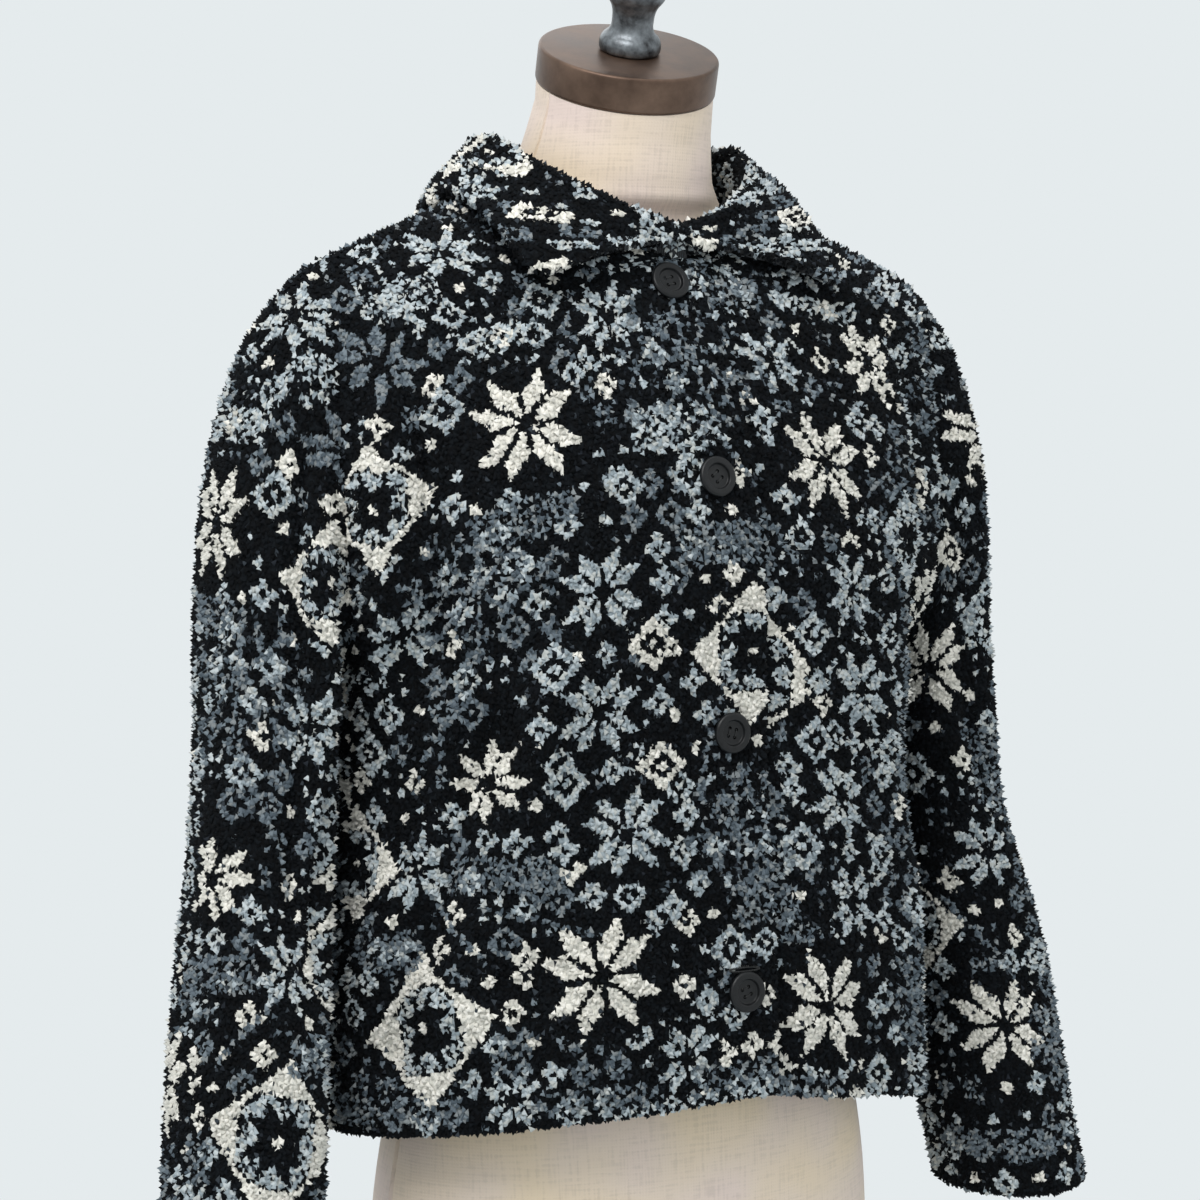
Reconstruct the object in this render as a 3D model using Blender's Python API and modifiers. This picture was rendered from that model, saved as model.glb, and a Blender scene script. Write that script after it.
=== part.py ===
"""A boxy button-front fleece cardigan on a limbless dress form with a short column and round base.

Sizes are in metres, +Z is up and the fronts face -Y, so the wearer's right side is at -X.
The cloth panels are lofts between unlike sections: each row of a panel is a cubic Bezier curve
from the opening (or the centre back) to the side seam or armhole, and each lengthwise line of a
sleeve runs from the armhole to a ring at the upper arm and on to the cuff. Soft folds are added
along the cloth's own normals. Every panel is a wall whose inner side is the outer side moved in,
with one shared direction at each seam, so that neighbours keep an even gap.
"""

import math

import bmesh
import bpy
import numpy as np
from mathutils import Matrix, Vector
from mathutils.bvhtree import BVHTree

# Driving sizes of the cloth
CLOTH = 0.0042           # thickness of the fleece with its pile
TURNED_HEM = 0.0036      # what the turned-up layer adds inside at the hem and cuffs
SEAM_GAP = 0.0003        # space between two pieces at a seam
OVERLAP = 0.019          # how far each front runs past the centre front
UNDERLAP_GAP = 0.0012    # space between the two fronts where they overlap
UNDERLAP_BOW = 0.0024    # how much further in the hidden edge of the left front lies
UNDERARM_ROW = 0.46      # share of a panel's rows that lies below the underarm
NECK_ROW = 0.74          # share of the rows at which the neckline starts
NECK_CENTRE_Y = 0.012    # the neckline's oval is centred here
NECK_HALF_WIDTH = 0.084
COLLAR_LIFT = 0.0016     # least space between the collar's leaf and the panels under it
RIM_ORDER = np.array([0.17, 0.31, 1.0])      # direction that picks the diagonals of a seam's rim

# Numbers of rows and columns in the cloth's meshes
HEM_ROWS = (0.0, 0.022, 0.041, 0.052)       # the turned-up layer ends at the third, 25 mm up
ROWS_BELOW_ARM = 9
ROWS_ON_OPENING = 8
ROWS_ON_NECKLINE = 6
COLUMNS_OF_HALF_BODY = 13
RINGS_OF_SLEEVE_HEAD = 7
RINGS_OF_SLEEVE = 11
CUFF_SHARES = (0.9, 0.925, 1.0)

# Buttons
BUTTON_RADIUS = 0.0122
BUTTON_HOLE = 0.00115
BUTTON_HOLE_SPREAD = 0.0022
BUTTON_SEAT = 0.0003
BUTTON_PLACES = ((-0.0160, 0.915), (-0.0095, 0.799), (-0.0065, 0.648), (-0.0040, 0.495))    # x, z
BUTTON_TURNS = (12, 38, 75, 20)      # degrees

# The dress form and its stand
BASE_RADIUS = 0.165
BASE_THICK = 0.014
COLUMN_RADIUS = 0.0165
FORM_CLEARANCE = 0.0006
FORM_POINTS_ROUND = 32
NECK_TOP = Vector((-0.0015, -0.002, 1.0385))
CAP_RADIUS = 0.0560
CAP_THICK = 0.0225
CAP_LEAN = math.radians(24)      # how far the neck's top tips forward
CAP_TURN = math.radians(-16)     # and to which side, about the vertical
STAND_GAP = 0.0003               # space between the stand's pieces

# Rows of a front panel, from the hem (row 0) to the shoulder seam (row 1), for the wearer's left
# side. A row starts at the centre front or neckline, leaves it by the handle h.._in and reaches
# the side seam or armhole from the handle h.._out.
FRONT_ROWS = [
    dict(row=0.00, y_in=-0.1410, z_in=0.4330, x_out=0.2030, y_out=0.004, z_out=0.4020,
         hx_in=0.128, hz_in=-0.010, hx_out=0.006, hy_out=-0.088, hz_out=0.006),
    dict(row=0.12, y_in=-0.1400, z_in=0.4960, x_out=0.2020, y_out=0.004, z_out=0.4740,
         hx_in=0.128, hz_in=-0.008, hx_out=0.005, hy_out=-0.087, hz_out=0.005),
    dict(row=0.24, y_in=-0.1340, z_in=0.5610, x_out=0.1960, y_out=0.004, z_out=0.5440,
         hx_in=0.126, hz_in=-0.006, hx_out=0.004, hy_out=-0.084, hz_out=0.003),
    dict(row=0.36, y_in=-0.1280, z_in=0.6280, x_out=0.1910, y_out=0.004, z_out=0.6180,
         hx_in=0.127, hz_in=-0.003, hx_out=0.004, hy_out=-0.082, hz_out=0.001),
    dict(row=0.46, y_in=-0.1270, z_in=0.6900, x_out=0.1950, y_out=0.004, z_out=0.6800,
         hx_in=0.130, hz_in=0.000, hx_out=0.008, hy_out=-0.074, hz_out=0.000),
    dict(row=0.56, y_in=-0.1230, z_in=0.7560, x_out=0.2070, y_out=-0.028, z_out=0.7180,
         hx_in=0.126, hz_in=0.004, hx_out=0.006, hy_out=-0.050, hz_out=0.014),
    dict(row=0.65, y_in=-0.1060, z_in=0.8380, x_out=0.2150, y_out=-0.036, z_out=0.7800,
         hx_in=0.110, hz_in=0.004, hx_out=-0.008, hy_out=-0.036, hz_out=0.014),
    dict(row=0.74, y_in=-0.0680, z_in=0.9300, x_out=0.2170, y_out=-0.034, z_out=0.8390,
         hx_in=0.076, hz_in=-0.004, hx_out=-0.026, hy_out=-0.030, hz_out=0.020),
    dict(row=0.87, y_in=-0.0300, z_in=0.9550, x_out=0.2160, y_out=-0.021, z_out=0.8980,
         hx_in=0.046, hz_in=-0.010, hx_out=-0.040, hy_out=-0.016, hz_out=0.020),
    dict(row=1.00, y_in=0.0120, z_in=0.9740, x_out=0.2120, y_out=0.002, z_out=0.9270,
         hx_in=0.044, hz_in=-0.012, hx_out=-0.042, hy_out=0.000, hz_out=0.018),
]

# Rows of the back panel, in the same way, from the centre back.
BACK_ROWS = [
    dict(row=0.00, y_in=0.1270, z_in=0.3960, x_out=0.2030, y_out=0.004, z_out=0.4020,
         hx_in=0.122, hz_in=0.000, hx_out=0.006, hy_out=0.078, hz_out=-0.004),
    dict(row=0.12, y_in=0.1240, z_in=0.4670, x_out=0.2020, y_out=0.004, z_out=0.4740,
         hx_in=0.121, hz_in=0.000, hx_out=0.005, hy_out=0.076, hz_out=-0.002),
    dict(row=0.24, y_in=0.1200, z_in=0.5400, x_out=0.1960, y_out=0.004, z_out=0.5440,
         hx_in=0.118, hz_in=0.000, hx_out=0.004, hy_out=0.074, hz_out=-0.001),
    dict(row=0.36, y_in=0.1180, z_in=0.6170, x_out=0.1910, y_out=0.004, z_out=0.6180,
         hx_in=0.116, hz_in=0.000, hx_out=0.004, hy_out=0.072, hz_out=0.000),
    dict(row=0.46, y_in=0.1200, z_in=0.6860, x_out=0.1950, y_out=0.004, z_out=0.6800,
         hx_in=0.118, hz_in=0.000, hx_out=0.008, hy_out=0.068, hz_out=0.000),
    dict(row=0.56, y_in=0.1240, z_in=0.7560, x_out=0.2070, y_out=0.050, z_out=0.7180,
         hx_in=0.114, hz_in=0.002, hx_out=0.002, hy_out=0.040, hz_out=0.010),
    dict(row=0.65, y_in=0.1240, z_in=0.8400, x_out=0.2150, y_out=0.066, z_out=0.7800,
         hx_in=0.104, hz_in=0.004, hx_out=-0.012, hy_out=0.030, hz_out=0.012),
    dict(row=0.74, y_in=0.0980, z_in=0.9620, x_out=0.2170, y_out=0.060, z_out=0.8390,
         hx_in=0.060, hz_in=0.000, hx_out=-0.030, hy_out=0.024, hz_out=0.026),
    dict(row=0.87, y_in=0.0600, z_in=0.9680, x_out=0.2160, y_out=0.036, z_out=0.8980,
         hx_in=0.050, hz_in=-0.008, hx_out=-0.040, hy_out=0.014, hz_out=0.022),
    dict(row=1.00, y_in=0.0120, z_in=0.9740, x_out=0.2120, y_out=0.002, z_out=0.9270,
         hx_in=0.044, hz_in=-0.012, hx_out=-0.042, hy_out=0.000, hz_out=0.018),
]

# The centre front swings a little towards the wearer's right below the collar.
FRONT_SWAY = [
    dict(z=0.36, shift=0.000),
    dict(z=0.78, shift=0.000),
    dict(z=0.90, shift=-0.008),
    dict(z=0.935, shift=-0.008),
    dict(z=0.972, shift=0.000),
]
SWAY_WIDTH = 0.09
HEM_TILT = 0.035         # the hem hangs this much lower to the wearer's left, for each metre

# Soft folds of the panels. "across" is measured along the row from the centre front or centre
# back, and z is the height; a positive depth is a ridge and a negative one a trough. side is -1
# for the wearer's right, 1 for the left and 0 for both.
FRONT_FOLDS = [
    dict(side=-1, across=0.112, z=0.690, to_across=0.196, to_z=0.500, width=0.020, depth=0.0120),
    dict(side=-1, across=0.152, z=0.640, to_across=0.232, to_z=0.455, width=0.018, depth=-0.0170),
    dict(side=-1, across=0.206, z=0.700, to_across=0.222, to_z=0.580, width=0.015, depth=-0.0080),
    dict(side=-1, across=0.214, z=0.850, to_across=0.222, to_z=0.690, width=0.013, depth=0.0080),
    dict(side=-1, across=0.186, z=0.800, to_across=0.190, to_z=0.690, width=0.014, depth=-0.0060),
    dict(side=-1, across=0.050, z=0.700, to_across=0.080, to_z=0.430, width=0.030, depth=0.0040),
    dict(side=1, across=0.060, z=0.760, to_across=0.075, to_z=0.430, width=0.028, depth=0.0040),
    dict(side=1, across=0.130, z=0.680, to_across=0.155, to_z=0.420, width=0.026, depth=0.0055),
    dict(side=1, across=0.180, z=0.620, to_across=0.220, to_z=0.470, width=0.018, depth=-0.0080),
    dict(side=1, across=0.196, z=0.850, to_across=0.206, to_z=0.700, width=0.015, depth=-0.0060),
]
BACK_FOLDS = [
    dict(side=-1, across=0.160, z=0.820, to_across=0.115, to_z=0.440, width=0.024, depth=0.0065),
    dict(side=-1, across=0.205, z=0.660, to_across=0.180, to_z=0.430, width=0.020, depth=-0.0080),
    dict(side=-1, across=0.065, z=0.700, to_across=0.055, to_z=0.410, width=0.026, depth=-0.0045),
    dict(side=1, across=0.145, z=0.800, to_across=0.130, to_z=0.430, width=0.022, depth=0.0060),
    dict(side=1, across=0.195, z=0.700, to_across=0.200, to_z=0.450, width=0.019, depth=-0.0075),
    dict(side=1, across=0.050, z=0.640, to_across=0.075, to_z=0.410, width=0.028, depth=-0.0040),
]

# Sections of the sleeves from the upper arm to the cuff. x is how far a section's middle lies from
# the centre, on the wearer's left and on the right.
SLEEVE_SECTIONS = [
    dict(down=0.00, z=0.655, x_left=0.2410, x_right=0.2400, y=0.020, half_x=0.0370, half_y=0.0660),
    dict(down=0.25, z=0.574, x_left=0.2520, x_right=0.2510, y=0.010, half_x=0.0400, half_y=0.0640),
    dict(down=0.50, z=0.493, x_left=0.2620, x_right=0.2640, y=-0.006, half_x=0.0420, half_y=0.0620),
    dict(down=0.75, z=0.412, x_left=0.2700, x_right=0.2755, y=-0.022, half_x=0.0425, half_y=0.0610),
    dict(down=1.00, z=0.330, x_left=0.2790, x_right=0.2860, y=-0.038, half_x=0.0425, half_y=0.0600),
]
SLEEVE_HEAD_OUT = {-1: 0.80, 1: 0.66}    # how far out a sleeve leaves its armhole, by side
SLEEVE_TILT = math.radians(6)    # lean of the sleeve's rings out from the level

# Folds of the sleeves. "turn" goes round the sleeve in degrees, from 0 at the body's side over
# 90 at the front and 180 outside to 270 at the back; "along" is 0 at the armhole, 1 at the upper
# arm's ring and 2 at the cuff.
SLEEVE_FOLDS = [
    dict(side=-1, turn=112, along=0.30, to_turn=106, to_along=1.10, width=15, depth=-0.0090),
    dict(side=-1, turn=72, along=0.45, to_turn=70, to_along=0.95, width=18, depth=0.0080),
    dict(side=-1, turn=55, along=1.15, to_turn=98, to_along=1.22, width=15, depth=-0.0075),
    dict(side=-1, turn=160, along=1.15, to_turn=104, to_along=1.40, width=16, depth=0.0045),
    dict(side=-1, turn=215, along=1.20, to_turn=160, to_along=1.62, width=18, depth=-0.0045),
    dict(side=-1, turn=128, along=1.55, to_turn=80, to_along=1.85, width=18, depth=-0.0040),
    dict(side=1, turn=84, along=0.30, to_turn=88, to_along=1.05, width=16, depth=-0.0080),
    dict(side=1, turn=124, along=0.40, to_turn=122, to_along=1.00, width=22, depth=0.0045),
    dict(side=1, turn=180, along=1.00, to_turn=140, to_along=1.22, width=16, depth=-0.0060),
    dict(side=1, turn=195, along=1.30, to_turn=150, to_along=1.55, width=18, depth=0.0050),
    dict(side=1, turn=112, along=1.50, to_turn=70, to_along=1.80, width=18, depth=-0.0045),
    dict(side=0, turn=262, along=0.35, to_turn=266, to_along=1.05, width=15, depth=-0.0080),
    dict(side=0, turn=300, along=1.15, to_turn=250, to_along=1.42, width=16, depth=-0.0050),
    dict(side=0, turn=240, along=1.45, to_turn=290, to_along=1.80, width=18, depth=-0.0040),
]

# The collar by its share of the way from the centre front (0) to the centre back (1), for the
# wearer's left side: rise and out place the fold's middle over the neckline, and edge_x, edge_y
# and edge_z the free edge of the leaf.
COLLAR_SECTIONS = [
    dict(share=0.00, rise=0.0140, out=0.0020, edge_x=0.1030, edge_y=-0.0760, edge_z=0.9150),
    dict(share=0.18, rise=0.0170, out=0.0030, edge_x=0.1150, edge_y=-0.0600, edge_z=0.9240),
    dict(share=0.36, rise=0.0230, out=0.0040, edge_x=0.1180, edge_y=-0.0320, edge_z=0.9450),
    dict(share=0.54, rise=0.0270, out=0.0040, edge_x=0.1170, edge_y=0.0060, edge_z=0.9640),
    dict(share=0.70, rise=0.0330, out=0.0020, edge_x=0.1100, edge_y=0.0560, edge_z=0.9570),
    dict(share=0.85, rise=0.0370, out=0.0020, edge_x=0.0720, edge_y=0.1060, edge_z=0.9440),
    dict(share=1.00, rise=0.0370, out=0.0020, edge_x=0.0000, edge_y=0.1260, edge_z=0.9380),
]
COLLAR_FOLD_RADIUS = 0.0023      # hidden radius inside the fold
COLLAR_END_GAP = 0.0008          # half the space between the collar's two front ends
RIGHT_LEAF_PUFF = 0.012          # how far the wearer's right leaf stands off the shoulder
LEFT_LEAF_PUFF = 0.003

# Sections of the dress form, from the bottom of the hips to the top of the neck. tip is the
# forward lean of a section, in degrees.
FORM_SECTIONS = [
    dict(z=0.235, half_x=0.150, front=0.084, back=0.092, y=0.000, tip=0),
    dict(z=0.243, half_x=0.166, front=0.097, back=0.104, y=0.000, tip=0),
    dict(z=0.290, half_x=0.173, front=0.103, back=0.110, y=0.000, tip=0),
    dict(z=0.360, half_x=0.170, front=0.103, back=0.107, y=0.000, tip=0),
    dict(z=0.440, half_x=0.155, front=0.098, back=0.096, y=0.000, tip=0),
    dict(z=0.530, half_x=0.128, front=0.088, back=0.080, y=0.000, tip=0),
    dict(z=0.610, half_x=0.127, front=0.092, back=0.084, y=0.000, tip=0),
    dict(z=0.690, half_x=0.148, front=0.110, back=0.098, y=0.000, tip=0),
    dict(z=0.740, half_x=0.158, front=0.112, back=0.106, y=0.000, tip=0),
    dict(z=0.800, half_x=0.166, front=0.098, back=0.108, y=0.000, tip=0),
    dict(z=0.850, half_x=0.174, front=0.082, back=0.102, y=0.000, tip=0),
    dict(z=0.890, half_x=0.182, front=0.066, back=0.092, y=0.000, tip=0),
    dict(z=0.912, half_x=0.188, front=0.056, back=0.084, y=0.000, tip=0),
    dict(z=0.926, half_x=0.186, front=0.050, back=0.078, y=0.000, tip=0),
    dict(z=0.936, half_x=0.162, front=0.046, back=0.072, y=0.002, tip=0),
    dict(z=0.946, half_x=0.124, front=0.045, back=0.067, y=0.006, tip=0),
    dict(z=0.956, half_x=0.093, front=0.047, back=0.062, y=0.010, tip=2),
    dict(z=0.966, half_x=0.075, front=0.052, back=0.059, y=0.013, tip=6),
    dict(z=0.982, half_x=0.0645, front=0.059, back=0.060, y=0.013, tip=12),
    dict(z=1.000, half_x=0.0595, front=0.057, back=0.058, y=0.008, tip=18),
    dict(z=1.020, half_x=0.0560, front=0.055, back=0.055, y=0.0025, tip=23),
]


def smooth_column(table, key, column, value):
    """Reads a column of a table between its rows along a smooth curve without overshoot."""
    keys = np.array([row[key] for row in table], dtype=float)
    values = np.array([row[column] for row in table], dtype=float)
    steps = np.diff(values) / np.diff(keys)
    slopes = np.concatenate([steps[:1], (steps[1:] + steps[:-1]) / 2, steps[-1:]])
    turning = np.concatenate([[False], steps[1:] * steps[:-1] <= 0, [False]])
    slopes = np.where(turning, 0.0, slopes)
    value = np.clip(value, keys[0], keys[-1])
    i = np.clip(np.searchsorted(keys, value) - 1, 0, len(keys) - 2)
    span = keys[i + 1] - keys[i]
    t = (value - keys[i]) / span
    return (
        values[i] * (1 + 2 * t) * (1 - t) ** 2
        + slopes[i] * span * t * (1 - t) ** 2
        + values[i + 1] * t * t * (3 - 2 * t)
        + slopes[i + 1] * span * t * t * (t - 1)
    )


def ease(t):
    """0 below 0, 1 above 1 and smooth in between."""
    t = np.clip(t, 0.0, 1.0)
    return t * t * (3 - 2 * t)


def unit(vectors):
    """Vectors of length 1 along the last axis."""
    length = np.linalg.norm(vectors, axis=-1, keepdims=True)
    return vectors / np.maximum(length, 1e-9)


def bezier(p0, p1, p2, p3, t):
    """Points of a cubic Bezier curve at the shares t."""
    t = np.asarray(t)[:, None]
    return (1 - t) ** 3 * p0 + 3 * t * (1 - t) ** 2 * p1 + 3 * t * t * (1 - t) * p2 + t**3 * p3


def grid_normals(points, closed=False):
    """Unit normals of a grid of points: the second direction crossed with the first."""
    if closed:
        points = np.concatenate([points[:, -1:], points, points[:, :1]], axis=1)
    down = np.gradient(points, axis=0)
    across = np.gradient(points, axis=1)
    normal = unit(np.cross(across, down))
    return normal[:, 1:-1] if closed else normal


def fold_lift(folds, side, keys, place):
    """Sum of the soft ridges and troughs at each place (two coordinates) of a surface."""
    first, second, scale = keys
    total = np.zeros(place.shape[:-1])
    for fold in folds:
        if fold["side"] not in (0, side):
            continue
        a = np.array([fold[first], fold[second] * scale])
        b = np.array([fold["to_" + first], fold["to_" + second] * scale])
        along = b - a
        flat_place = place * [1.0, scale]
        share = ((flat_place - a) @ along) / (along @ along)
        nearest = a + np.clip(share, 0, 1)[..., None] * along
        gap = np.linalg.norm(flat_place - nearest, axis=-1)
        total += fold["depth"] * np.exp(-((gap / fold["width"]) ** 2))
    return total


def body_rows():
    """Where the rows of a body panel lie, from the hem (0) to the shoulder seam (1)."""
    below = np.linspace(HEM_ROWS[-1], UNDERARM_ROW, ROWS_BELOW_ARM + 1)
    opening = np.linspace(UNDERARM_ROW, NECK_ROW, ROWS_ON_OPENING + 1)
    neckline = np.linspace(NECK_ROW, 1, ROWS_ON_NECKLINE + 1)
    return np.concatenate([HEM_ROWS[:-1], below, opening[1:], neckline[1:]])


def neckline_start(table, row, is_front):
    """The point of the neckline where a row above NECK_ROW starts."""
    corner = smooth_column(table, "row", "y_in", NECK_ROW)
    height = smooth_column(table, "row", "z_in", NECK_ROW)
    top = table[-1]["z_in"]
    step = (row - NECK_ROW) / (1 - NECK_ROW)
    if is_front:
        # The first step runs along the overlap's top edge, from its corner to the centre.
        first = 1 / ROWS_ON_NECKLINE
        if step <= first:
            return np.array([-OVERLAP * (1 - step / first), corner, height])
        step = (step - first) / (1 - first)
    turn = step * math.pi / 2
    return np.array([
        NECK_HALF_WIDTH * math.sin(turn),
        NECK_CENTRE_Y + (corner - NECK_CENTRE_Y) * math.cos(turn),
        height + (top - height) * step**1.15,
    ])


def row_curve(table, row, shares, is_front):
    """One row of a body panel, for the wearer's left side."""
    look = {name: smooth_column(table, "row", name, row) for name in table[0] if name != "row"}
    start = np.array([-OVERLAP if is_front else 0.0, look["y_in"], look["z_in"]])
    if row > NECK_ROW:
        start = neckline_start(table, row, is_front)
    end = np.array([look["x_out"], look["y_out"], look["z_out"]])
    reach = look["hx_in"] + (OVERLAP if is_front and row <= NECK_ROW else 0.0)
    return bezier(start, start + [reach, 0.0, look["hz_in"]],
                  end + [look["hx_out"], look["hy_out"], look["hz_out"]], end, shares)


def body_half(table, folds, side, rows, shares, wall):
    """Outer points of one half of the body: rows from hem to shoulder, columns from the opening
    or the centre back to the side. It is worked out for the wearer's left and then mirrored. wall
    is the thickness at each row."""
    is_front = table is FRONT_ROWS
    points = np.array([row_curve(table, row, shares, is_front) for row in rows])
    steps = np.linalg.norm(np.diff(points, axis=1), axis=2)
    across = np.concatenate([np.zeros((len(rows), 1)), np.cumsum(steps, axis=1)], axis=1)
    across += points[:, :1, 0]
    lift = fold_lift(folds, side, ("across", "z", 0.8), np.stack([across, points[:, :, 2]], axis=2))
    lift *= ease((1 - rows) / 0.12)[:, None]
    if is_front:
        # The overlapping edges stay flat, one on the other.
        lift *= ease((across - OVERLAP) / 0.035)
    facing = 1 if is_front else -1
    normal = grid_normals(points) * facing
    if is_front and side == 1:
        # The left front lies in under the right one, and comes out beyond it.
        beyond = ease((points[:, :, 0] - OVERLAP - 0.004) / 0.024)
        lift -= (wall[:, None] + UNDERLAP_GAP) * (1 - beyond)
        lift -= UNDERLAP_BOW * ease((OVERLAP - points[:, :, 0]) / (2 * OVERLAP))
    points = points + normal * lift[:, :, None]
    points[:, :, 0] *= side
    points[:, :, 2] -= HEM_TILT * points[:, :, 0] * (1 - ease(rows / 0.3))[:, None]
    if is_front:
        sway = smooth_column(FRONT_SWAY, "z", "shift", points[:, :, 2])
        points[:, :, 0] += sway * np.exp(-((points[:, :, 0] / SWAY_WIDTH) ** 2))
    return points


def sleeve_ring(section_share, turns, side):
    """One ring of the lower sleeve, by the angles round it."""
    look = {name: smooth_column(SLEEVE_SECTIONS, "down", name, section_share)
            for name in SLEEVE_SECTIONS[0] if name != "down"}
    x = -look["half_x"] * np.cos(turns)
    y = -look["half_y"] * np.sin(turns)
    z = x * math.tan(SLEEVE_TILT)
    middle = look["x_left"] if side == 1 else look["x_right"]
    return np.stack([(middle + x) * side, look["y"] + y, look["z"] + z], axis=1)


def sleeve_points(armhole, side, head_shares, down_shares):
    """Outer points of a sleeve: rings from the armhole to the cuff. The armhole's points run from
    the underarm over the front to the shoulder and down the back."""
    count = len(armhole)
    top = int(np.argmax(armhole[:, 2]))
    closed = np.concatenate([armhole, armhole[:1]])
    lengths = np.concatenate([[0], np.cumsum(np.linalg.norm(np.diff(closed, axis=0), axis=1))])
    front = lengths[:top + 1] / lengths[top] * math.pi
    back = math.pi + (lengths[top:-1] - lengths[top]) / (lengths[-1] - lengths[top]) * math.pi
    turns = np.concatenate([front, back[1:]])
    first = sleeve_ring(0, turns, side)
    height = (armhole[:, 2] - armhole[:, 2].min()) / np.ptp(armhole[:, 2])
    out = np.stack([(SLEEVE_HEAD_OUT[side] + 0.12 * height) * side, -0.28 * np.sin(turns),
                    -0.60 + 0.23 * height], axis=1)
    reach = np.linalg.norm(first - armhole, axis=1)[:, None]
    axis = np.array([0.10 * side, -0.10, -1.0])
    leave = armhole + unit(out) * reach * 0.26
    arrive = first - axis * reach * 0.36
    head = np.array([
        bezier(armhole[i], leave[i], arrive[i], first[i], head_shares) for i in range(count)
    ]).transpose(1, 0, 2)
    lower = np.array([sleeve_ring(share, turns, side) for share in down_shares[1:]])
    points = np.concatenate([head, lower])
    along = np.concatenate([head_shares, 1 + np.array(down_shares[1:])])
    place = np.stack(np.broadcast_arrays(np.degrees(turns)[None, :], along[:, None]), axis=2)
    lift = fold_lift(SLEEVE_FOLDS, side, ("turn", "along", 70), place)
    lift *= ease(along / 0.25)[:, None]
    # Folds fade where the sleeve lies against the body.
    lift *= ease((reach[:, 0] - 0.02) / 0.05)[None, :]
    normal = grid_normals(points, closed=True) * -side
    return points + normal * lift[:, :, None]


def share_normals(grids):
    """One normal for each place: grids that meet at a seam take the sum of theirs."""
    sums = {}
    for grid in grids:
        for point, normal in zip(grid["outer"].reshape(-1, 3), grid["normal"].reshape(-1, 3)):
            spot = tuple(np.round(point, 6))
            sums[spot] = sums.get(spot, 0) + normal
    for grid in grids:
        flat = [sums[tuple(np.round(point, 6))] for point in grid["outer"].reshape(-1, 3)]
        grid["normal"] = unit(np.array(flat)).reshape(grid["outer"].shape)


def draw_in(grid, edge):
    """Moves the points along one edge of a grid in by half the seam's gap, on both sides of the
    wall. The edge is first_row, last_row, first_column, last_column or neckline."""
    for name in ("outer", "inner"):
        points = grid[name]
        rows, columns = points.shape[:2]
        edges = {
            "first_row": ([(0, j) for j in range(columns)], (1, 0)),
            "last_row": ([(rows - 1, j) for j in range(columns)], (-1, 0)),
            "first_column": ([(i, 0) for i in range(rows)], (0, 1)),
            "last_column": ([(i, columns - 1) for i in range(rows)], (0, -1)),
            "neckline": ([(i, 0) for i in range(rows - ROWS_ON_NECKLINE, rows)], (0, 1)),
        }
        spots, step = edges[edge]
        moved = points.copy()
        for i, j in spots:
            ahead = points[i + step[0], j + step[1]] - points[i, j]
            moved[i, j] = points[i, j] + unit(ahead) * SEAM_GAP / 2
        grid[name] = moved


def wall_object(name, grids, closed, material):
    """Makes one closed wall from grids of outer and inner points. Grids that share points, as the
    halves of the back do, are joined there."""
    spots = {}
    outer = []
    inner = []
    faces = []
    for grid in grids:
        rows, columns = grid["outer"].shape[:2]
        ids = np.zeros((rows, columns), dtype=int)
        for i in range(rows):
            for j in range(columns):
                spot = tuple(np.round(grid["outer"][i, j], 6))
                if spot not in spots:
                    spots[spot] = len(outer)
                    outer.append(grid["outer"][i, j])
                    inner.append(grid["inner"][i, j])
                ids[i, j] = spots[spot]
        if closed:
            ids = np.concatenate([ids, ids[:, :1]], axis=1)
        for i in range(rows - 1):
            for j in range(ids.shape[1] - 1):
                corners = (ids[i, j], ids[i, j + 1], ids[i + 1, j + 1], ids[i + 1, j])
                faces.append(corners if grid["turn"] > 0 else corners[::-1])
    count = len(outer)
    used = {}
    for face in faces:
        for a, b in zip(face, face[1:] + face[:1]):
            used[(a, b)] = used.get((a, b), 0) + 1
    inner_faces = [tuple(i + count for i in reversed(face)) for face in faces]
    rims = []
    for a, b in used:
        if (b, a) in used:
            continue
        # Both sides of a seam split their rims along the same diagonal, so they never cross.
        if outer[a] @ RIM_ORDER < outer[b] @ RIM_ORDER:
            rims += [(b, a, b + count), (a, a + count, b + count)]
        else:
            rims += [(b, a, a + count), (b, a + count, b + count)]
    mesh = bpy.data.meshes.new(name)
    mesh.from_pydata([tuple(p) for p in outer + inner], [], faces + inner_faces + rims)
    return finish_object(name, mesh, material)


def finish_object(name, mesh, material, sharp=60):
    """Shades a mesh smooth but for its sharp edges, and adds it as an object."""
    work = bmesh.new()
    work.from_mesh(mesh)
    bmesh.ops.recalc_face_normals(work, faces=work.faces)
    if work.calc_volume(signed=True) < 0:
        bmesh.ops.reverse_faces(work, faces=work.faces)
    work.to_mesh(mesh)
    work.free()
    mesh.shade_smooth()
    mesh.set_sharp_from_angle(angle=math.radians(sharp))
    mesh.materials.append(material)
    piece = bpy.data.objects.new(name, mesh)
    parts.objects.link(piece)
    return piece


def make_grid(outer, facing, wall, closed=False):
    """A grid of outer points with its normals and thickness, still without its inner points."""
    return dict(outer=outer, normal=grid_normals(outer, closed) * facing, turn=facing,
                thick=wall * np.ones(outer.shape[:2]))


def meet(a, b, spots_a, spots_b):
    """Brings two grids together along a seam, at the mean of their points."""
    for spot_a, spot_b in zip(spots_a, spots_b):
        middle = (a[spot_a] + b[spot_b]) / 2
        a[spot_a] = middle
        b[spot_b] = middle


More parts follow.
